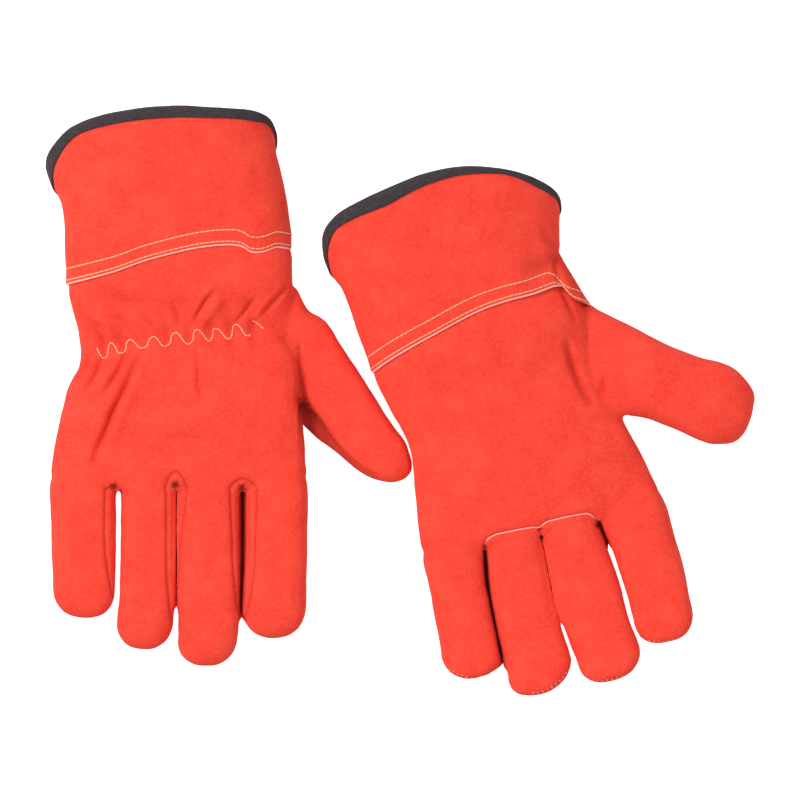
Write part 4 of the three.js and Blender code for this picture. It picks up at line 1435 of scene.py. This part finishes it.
def shade(colour, factor):
    return tuple(min(1.0, channel * factor) for channel in colour) + (1.0,)


NAP_SOCKETS = (("Colour", "INPUT", "Color"), ("Shadow colour", "INPUT", "Color"),
               ("Pale colour", "INPUT", "Color"), ("Fibre scale", "INPUT", "Float"),
               ("Patch scale", "INPUT", "Float"), ("Colour", "OUTPUT", "Color"),
               ("Height", "OUTPUT", "Float"))


def nap_group():
    """Mottled colour and fine height of a brushed surface."""
    group = bpy.data.node_groups.get("Nap")
    if group:
        return group
    group = bpy.data.node_groups.new("Nap", "ShaderNodeTree")
    for name, way, kind in NAP_SOCKETS:
        group.interface.new_socket(name, in_out=way, socket_type="NodeSocket" + kind)
    entry = group.nodes.new("NodeGroupInput")
    leave = group.nodes.new("NodeGroupOutput")
    place = add_node(group, "TexCoord")
    patches = add_node(group, "TexNoise", {"Detail": 5.0, "Roughness": 0.62})
    fibres = add_node(group, "TexNoise", {"Detail": 3.0, "Roughness": 0.7})
    flecks = add_node(group, "TexNoise", {"Scale": 700.0, "Detail": 2.0})
    for source in (patches, fibres, flecks):
        wire(group, place, "Object", source, "Vector")
    wire(group, entry, "Patch scale", patches, "Scale")
    wire(group, entry, "Fibre scale", fibres, "Scale")
    patch_range = add_node(group, "MapRange", {"From Min": 0.36, "From Max": 0.66})
    wire(group, patches, "Fac", patch_range, "Value")
    fleck_range = add_node(group, "MapRange", {"From Min": 0.4, "From Max": 0.72, "To Max": 0.5})
    wire(group, flecks, "Fac", fleck_range, "Value")
    darker = add_node(group, "Mix", data_type="RGBA")
    wire(group, patch_range, "Result", darker, "Factor")
    wire(group, entry, "Shadow colour", darker, "A")
    wire(group, entry, "Colour", darker, "B")
    paler = add_node(group, "Mix", data_type="RGBA")
    wire(group, fleck_range, "Result", paler, "Factor")
    wire(group, darker, "Result", paler, "A")
    wire(group, entry, "Pale colour", paler, "B")
    wire(group, paler, "Result", leave, "Colour")
    both = add_node(group, "Math", {1: 0.4}, operation="MULTIPLY_ADD")
    wire(group, patches, "Fac", both, 0)
    wire(group, fibres, "Fac", both, 2)
    wire(group, both, 0, leave, "Height")
    return group


def napped(name, colour, shadow, pale, fibre, patch, bump, roughness, sheen):
    """A brushed surface: how many fibres and patches to a metre, and how deep its nap is in metres."""
    made, tree = material(name)
    if tree is None:
        return made
    shader = tree.nodes["Principled BSDF"]
    set_sockets(shader, {"Roughness": roughness, "Specular IOR Level": 0.12, "Sheen Weight": sheen,
                         "Sheen Roughness": 0.6, "Sheen Tint": (1.0, 0.42, 0.34, 1.0)})
    nap = add_node(tree, "Group", node_tree=nap_group())
    set_sockets(nap, {"Colour": (*colour, 1.0), "Shadow colour": shadow, "Pale colour": pale,
                      "Fibre scale": fibre, "Patch scale": patch})
    wire(tree, nap, "Colour", shader, "Base Color")
    add_bump(tree, nap, "Height", 0.3, bump)
    made.diffuse_color = (*colour, 1.0)
    return made


def tinted(colour, factors):
    return tuple(channel * factor for channel, factor in zip(colour, factors)) + (1.0,)


def suede_material():
    """Suede whose nap is darkened by painted shade where the mesh's shade attribute says so."""
    name = "Orange suede"
    if bpy.data.materials.get(name):
        return bpy.data.materials[name]
    colour = tuple(colours().suede)
    made = napped(name, colour, tinted(colour, (0.95, 0.68, 0.66)), (0.97, 0.095, 0.062, 1.0), 2600.0, 95.0,
                  0.00025, 0.95, 0.06)
    tree = made.node_tree
    shader = tree.nodes["Principled BSDF"]
    nap = shader.inputs["Base Color"].links[0].from_node
    # Painted shade: mixes the nap towards a dark red where the shade attribute is high
    worn = add_node(tree, "Attribute", attribute_name="worn")
    darker = add_node(tree, "Mix", {"B": tinted(colour, (0.27, 0.18, 0.2))}, data_type="RGBA")
    wire(tree, worn, "Fac", darker, "Factor")
    wire(tree, nap, "Colour", darker, "A")
    wire(tree, darker, "Result", shader, "Base Color")
    return made


def thread_material():
    """Twisted thread: fine bands across each stitch."""
    return woven("Sewing thread", tuple(colours().thread), 900.0, 0.0001, 0.7)


def cut_edge_material():
    """Undyed leather, with a faint painted glow that keeps so thin an edge pale where it catches little
    light.
    """
    colour = tuple(colours().cut_edge)
    made = napped("Leather cut edge", colour, shade(colour, 0.85), shade(colour, 1.1), 3000.0, 300.0,
                  0.0002, 1.0, 0.0)
    shader = made.node_tree.nodes["Principled BSDF"]
    # Painted light: a faint glow stands in for the light that the thin edge faces away from
    set_sockets(shader, {"Emission Color": (1.0, 0.36, 0.3, 1.0), "Emission Strength": 0.16})
    return made


def fleece_material():
    colour = tuple(colours().fleece)
    return napped("Fleece lining", colour, shade(colour, 0.86), shade(colour, 1.1), 1500.0, 200.0, 0.0005,
                  1.0, 0.2)


def woven(name, colour, threads, bump, roughness):
    """Cloth with a plain weave on Object coordinates."""
    made, tree = material(name)
    if tree is None:
        return made
    shader = tree.nodes["Principled BSDF"]
    set_sockets(shader, {"Roughness": roughness, "Specular IOR Level": 0.2})
    place = add_node(tree, "TexCoord")
    waves = []
    for way in ("X", "Y", "Z"):
        wave = add_node(tree, "TexWave", {"Scale": threads, "Distortion": 0.4, "Detail": 1.0},
                        bands_direction=way)
        wire(tree, place, "Object", wave, "Vector")
        waves.append(wave)
    crossed = add_node(tree, "Math", operation="MULTIPLY")
    wire(tree, waves[0], "Fac", crossed, 0)
    wire(tree, waves[1], "Fac", crossed, 1)
    weave = add_node(tree, "Math", operation="ADD")
    wire(tree, crossed, 0, weave, 0)
    wire(tree, waves[2], "Fac", weave, 1)
    half = add_node(tree, "Math", {1: 0.5}, operation="MULTIPLY")
    wire(tree, weave, 0, half, 0)
    tone = add_node(tree, "Mix", data_type="RGBA")
    set_sockets(tone, {"A": shade(colour, 0.7), "B": shade(colour, 1.25)})
    wire(tree, half, 0, tone, "Factor")
    wire(tree, tone, "Result", shader, "Base Color")
    add_bump(tree, weave, 0, 0.5, bump)
    made.diffuse_color = (*colour, 1.0)
    return made


def tape_material():
    colour = tuple(colours().tape)
    return napped("Binding tape", colour, shade(colour, 0.75), shade(colour, 1.35), 3200.0, 700.0, 0.0002,
                  0.85, 0.05)


def canvas_material():
    return woven("Cuff canvas", tuple(colours().canvas), 300.0, 0.0002, 0.95)


def elastic_material():
    return woven("Ribbed elastic", tuple(colours().fleece), 240.0, 0.0003, 0.9)


# Floor, light and camera: name, place, size and power of each light, the camera's height and the
# width that it frames, all in metres and watts
LIGHTS = (("key", (-1.2, 0.6, 1.5), 0.8, 29.0), ("fill", (1.2, -0.6, 1.6), 1.2, 5.0))
ROOM_LIGHT = 0.58
CAMERA_HEIGHT = 8.0
FRAME_WIDTH = 0.384
SENSOR = 36.0
FLOOR_SIZE = 6.0
FLOOR_HEIGHT = -0.0002


def make_floor():
    only()
    bpy.ops.mesh.primitive_plane_add(size=FLOOR_SIZE, location=(0, 0, FLOOR_HEIGHT))
    floor = bpy.context.object
    floor.name = "floor"
    made, tree = material("Pale floor")
    if tree:
        shader = tree.nodes["Principled BSDF"]
        set_sockets(shader, {"Base Color": (0.6, 0.6, 0.6, 1.0), "Emission Color": (1.0, 1.0, 1.0, 1.0),
                             "Roughness": 0.9, "Specular IOR Level": 0.1})
        seen = add_node(tree, "LightPath")
        glow = add_node(tree, "MapRange", {"To Min": 0.3, "To Max": 1.0})
        wire(tree, seen, "Is Camera Ray", glow, "Value")
        wire(tree, glow, "Result", shader, "Emission Strength")
    floor.data.materials.append(made)


def make_stage():
    make_floor()
    world = bpy.data.worlds.new("Soft white room")
    world.use_nodes = True
    set_sockets(world.node_tree.nodes["Background"],
                {"Color": (1.0, 1.0, 1.0, 1.0), "Strength": ROOM_LIGHT})
    scene = bpy.context.scene
    scene.world = world
    for name, place, size, power in LIGHTS:
        light = bpy.data.lights.new(name, "AREA")
        light.shape = "DISK"
        light.size = size
        light.energy = power
        obj = bpy.data.objects.new(name, light)
        obj.location = place
        obj.rotation_euler = (-Vector(place)).to_track_quat("-Z", "Y").to_euler()
        bpy.context.collection.objects.link(obj)
    camera = bpy.data.cameras.new("camera")
    camera.sensor_width = SENSOR
    camera.lens = SENSOR * CAMERA_HEIGHT / FRAME_WIDTH
    camera.clip_start = 0.05
    obj = bpy.data.objects.new("camera", camera)
    obj.location = (0.0, 0.0, CAMERA_HEIGHT)
    bpy.context.collection.objects.link(obj)
    scene.camera = obj
    scene.view_settings.view_transform = "Standard"


# The operators, each for one group of pieces
class GLOVE_OT_hands(bpy.types.Operator):
    """Sew the leather panels of both hands"""
    bl_idname = "glove.hands"
    bl_label = "Hand panels"

    def execute(self, context):
        for glove in GLOVES:
            make_hand(glove)
        return {"FINISHED"}


class GLOVE_OT_linings(bpy.types.Operator):
    """Line both hands with fleece"""
    bl_idname = "glove.linings"
    bl_label = "Hand linings"

    def execute(self, context):
        for glove in GLOVES:
            make_lining(glove)
        return {"FINISHED"}


class GLOVE_OT_elastics(bpy.types.Operator):
    """Add the elastic that gathers the back of each wrist"""
    bl_idname = "glove.elastics"
    bl_label = "Wrist elastics"

    def execute(self, context):
        for glove in GLOVES:
            make_elastic(glove)
        return {"FINISHED"}


class GLOVE_OT_cuffs(bpy.types.Operator):
    """Make the leather cuffs and their canvas linings"""
    bl_idname = "glove.cuffs"
    bl_label = "Cuffs"

    def execute(self, context):
        for glove in GLOVES:
            make_cuff(glove)
            make_cuff_lining(glove)
        return {"FINISHED"}


class GLOVE_OT_bindings(bpy.types.Operator):
    """Bind the mouth of each cuff with tape"""
    bl_idname = "glove.bindings"
    bl_label = "Bindings"

    def execute(self, context):
        for glove in GLOVES:
            make_binding(glove)
        return {"FINISHED"}


class GLOVE_OT_stitches(bpy.types.Operator):
    """Sew the rows of thread, and lay the raw edge at the base of the fingers"""
    bl_idname = "glove.stitches"
    bl_label = "Stitches"

    def execute(self, context):
        for glove in GLOVES:
            tree = leather_tree(glove)
            make_seam_edge(glove, tree)
            make_stitches(glove, tree)
        return {"FINISHED"}


class GLOVE_OT_stage(bpy.types.Operator):
    """Set the floor, the light and the camera"""
    bl_idname = "glove.stage"
    bl_label = "Stage"

    def execute(self, context):
        make_stage()
        return {"FINISHED"}


class GLOVE_PT_panel(bpy.types.Panel):
    """Builds the gloves piece by piece"""
    bl_label = "Welding gloves"
    bl_idname = "GLOVE_PT_panel"
    bl_space_type = "VIEW_3D"
    bl_region_type = "UI"
    bl_category = "Gloves"

    def draw(self, context):
        for name in GloveSizes.__annotations__:
            self.layout.prop(context.scene.glove_sizes, name)
        for name in GloveColours.__annotations__:
            self.layout.prop(context.scene.glove_colours, name)
        for operator in OPERATORS:
            self.layout.operator(operator.bl_idname)


OPERATORS = (GLOVE_OT_hands, GLOVE_OT_linings, GLOVE_OT_elastics, GLOVE_OT_cuffs, GLOVE_OT_bindings,
             GLOVE_OT_stitches, GLOVE_OT_stage)
CLASSES = (GloveSizes, GloveColours) + OPERATORS + (GLOVE_PT_panel,)


def register():
    for cls in CLASSES:
        bpy.utils.register_class(cls)
    bpy.types.Scene.glove_sizes = bpy.props.PointerProperty(type=GloveSizes)
    bpy.types.Scene.glove_colours = bpy.props.PointerProperty(type=GloveColours)


def unregister():
    del bpy.types.Scene.glove_colours
    del bpy.types.Scene.glove_sizes
    for cls in reversed(CLASSES):
        bpy.utils.unregister_class(cls)


def main():
    register()
    bpy.ops.glove.hands()
    bpy.ops.glove.linings()
    bpy.ops.glove.elastics()
    bpy.ops.glove.cuffs()
    bpy.ops.glove.bindings()
    bpy.ops.glove.stitches()
    bpy.ops.glove.stage()


if __name__ == "__main__":
    main()
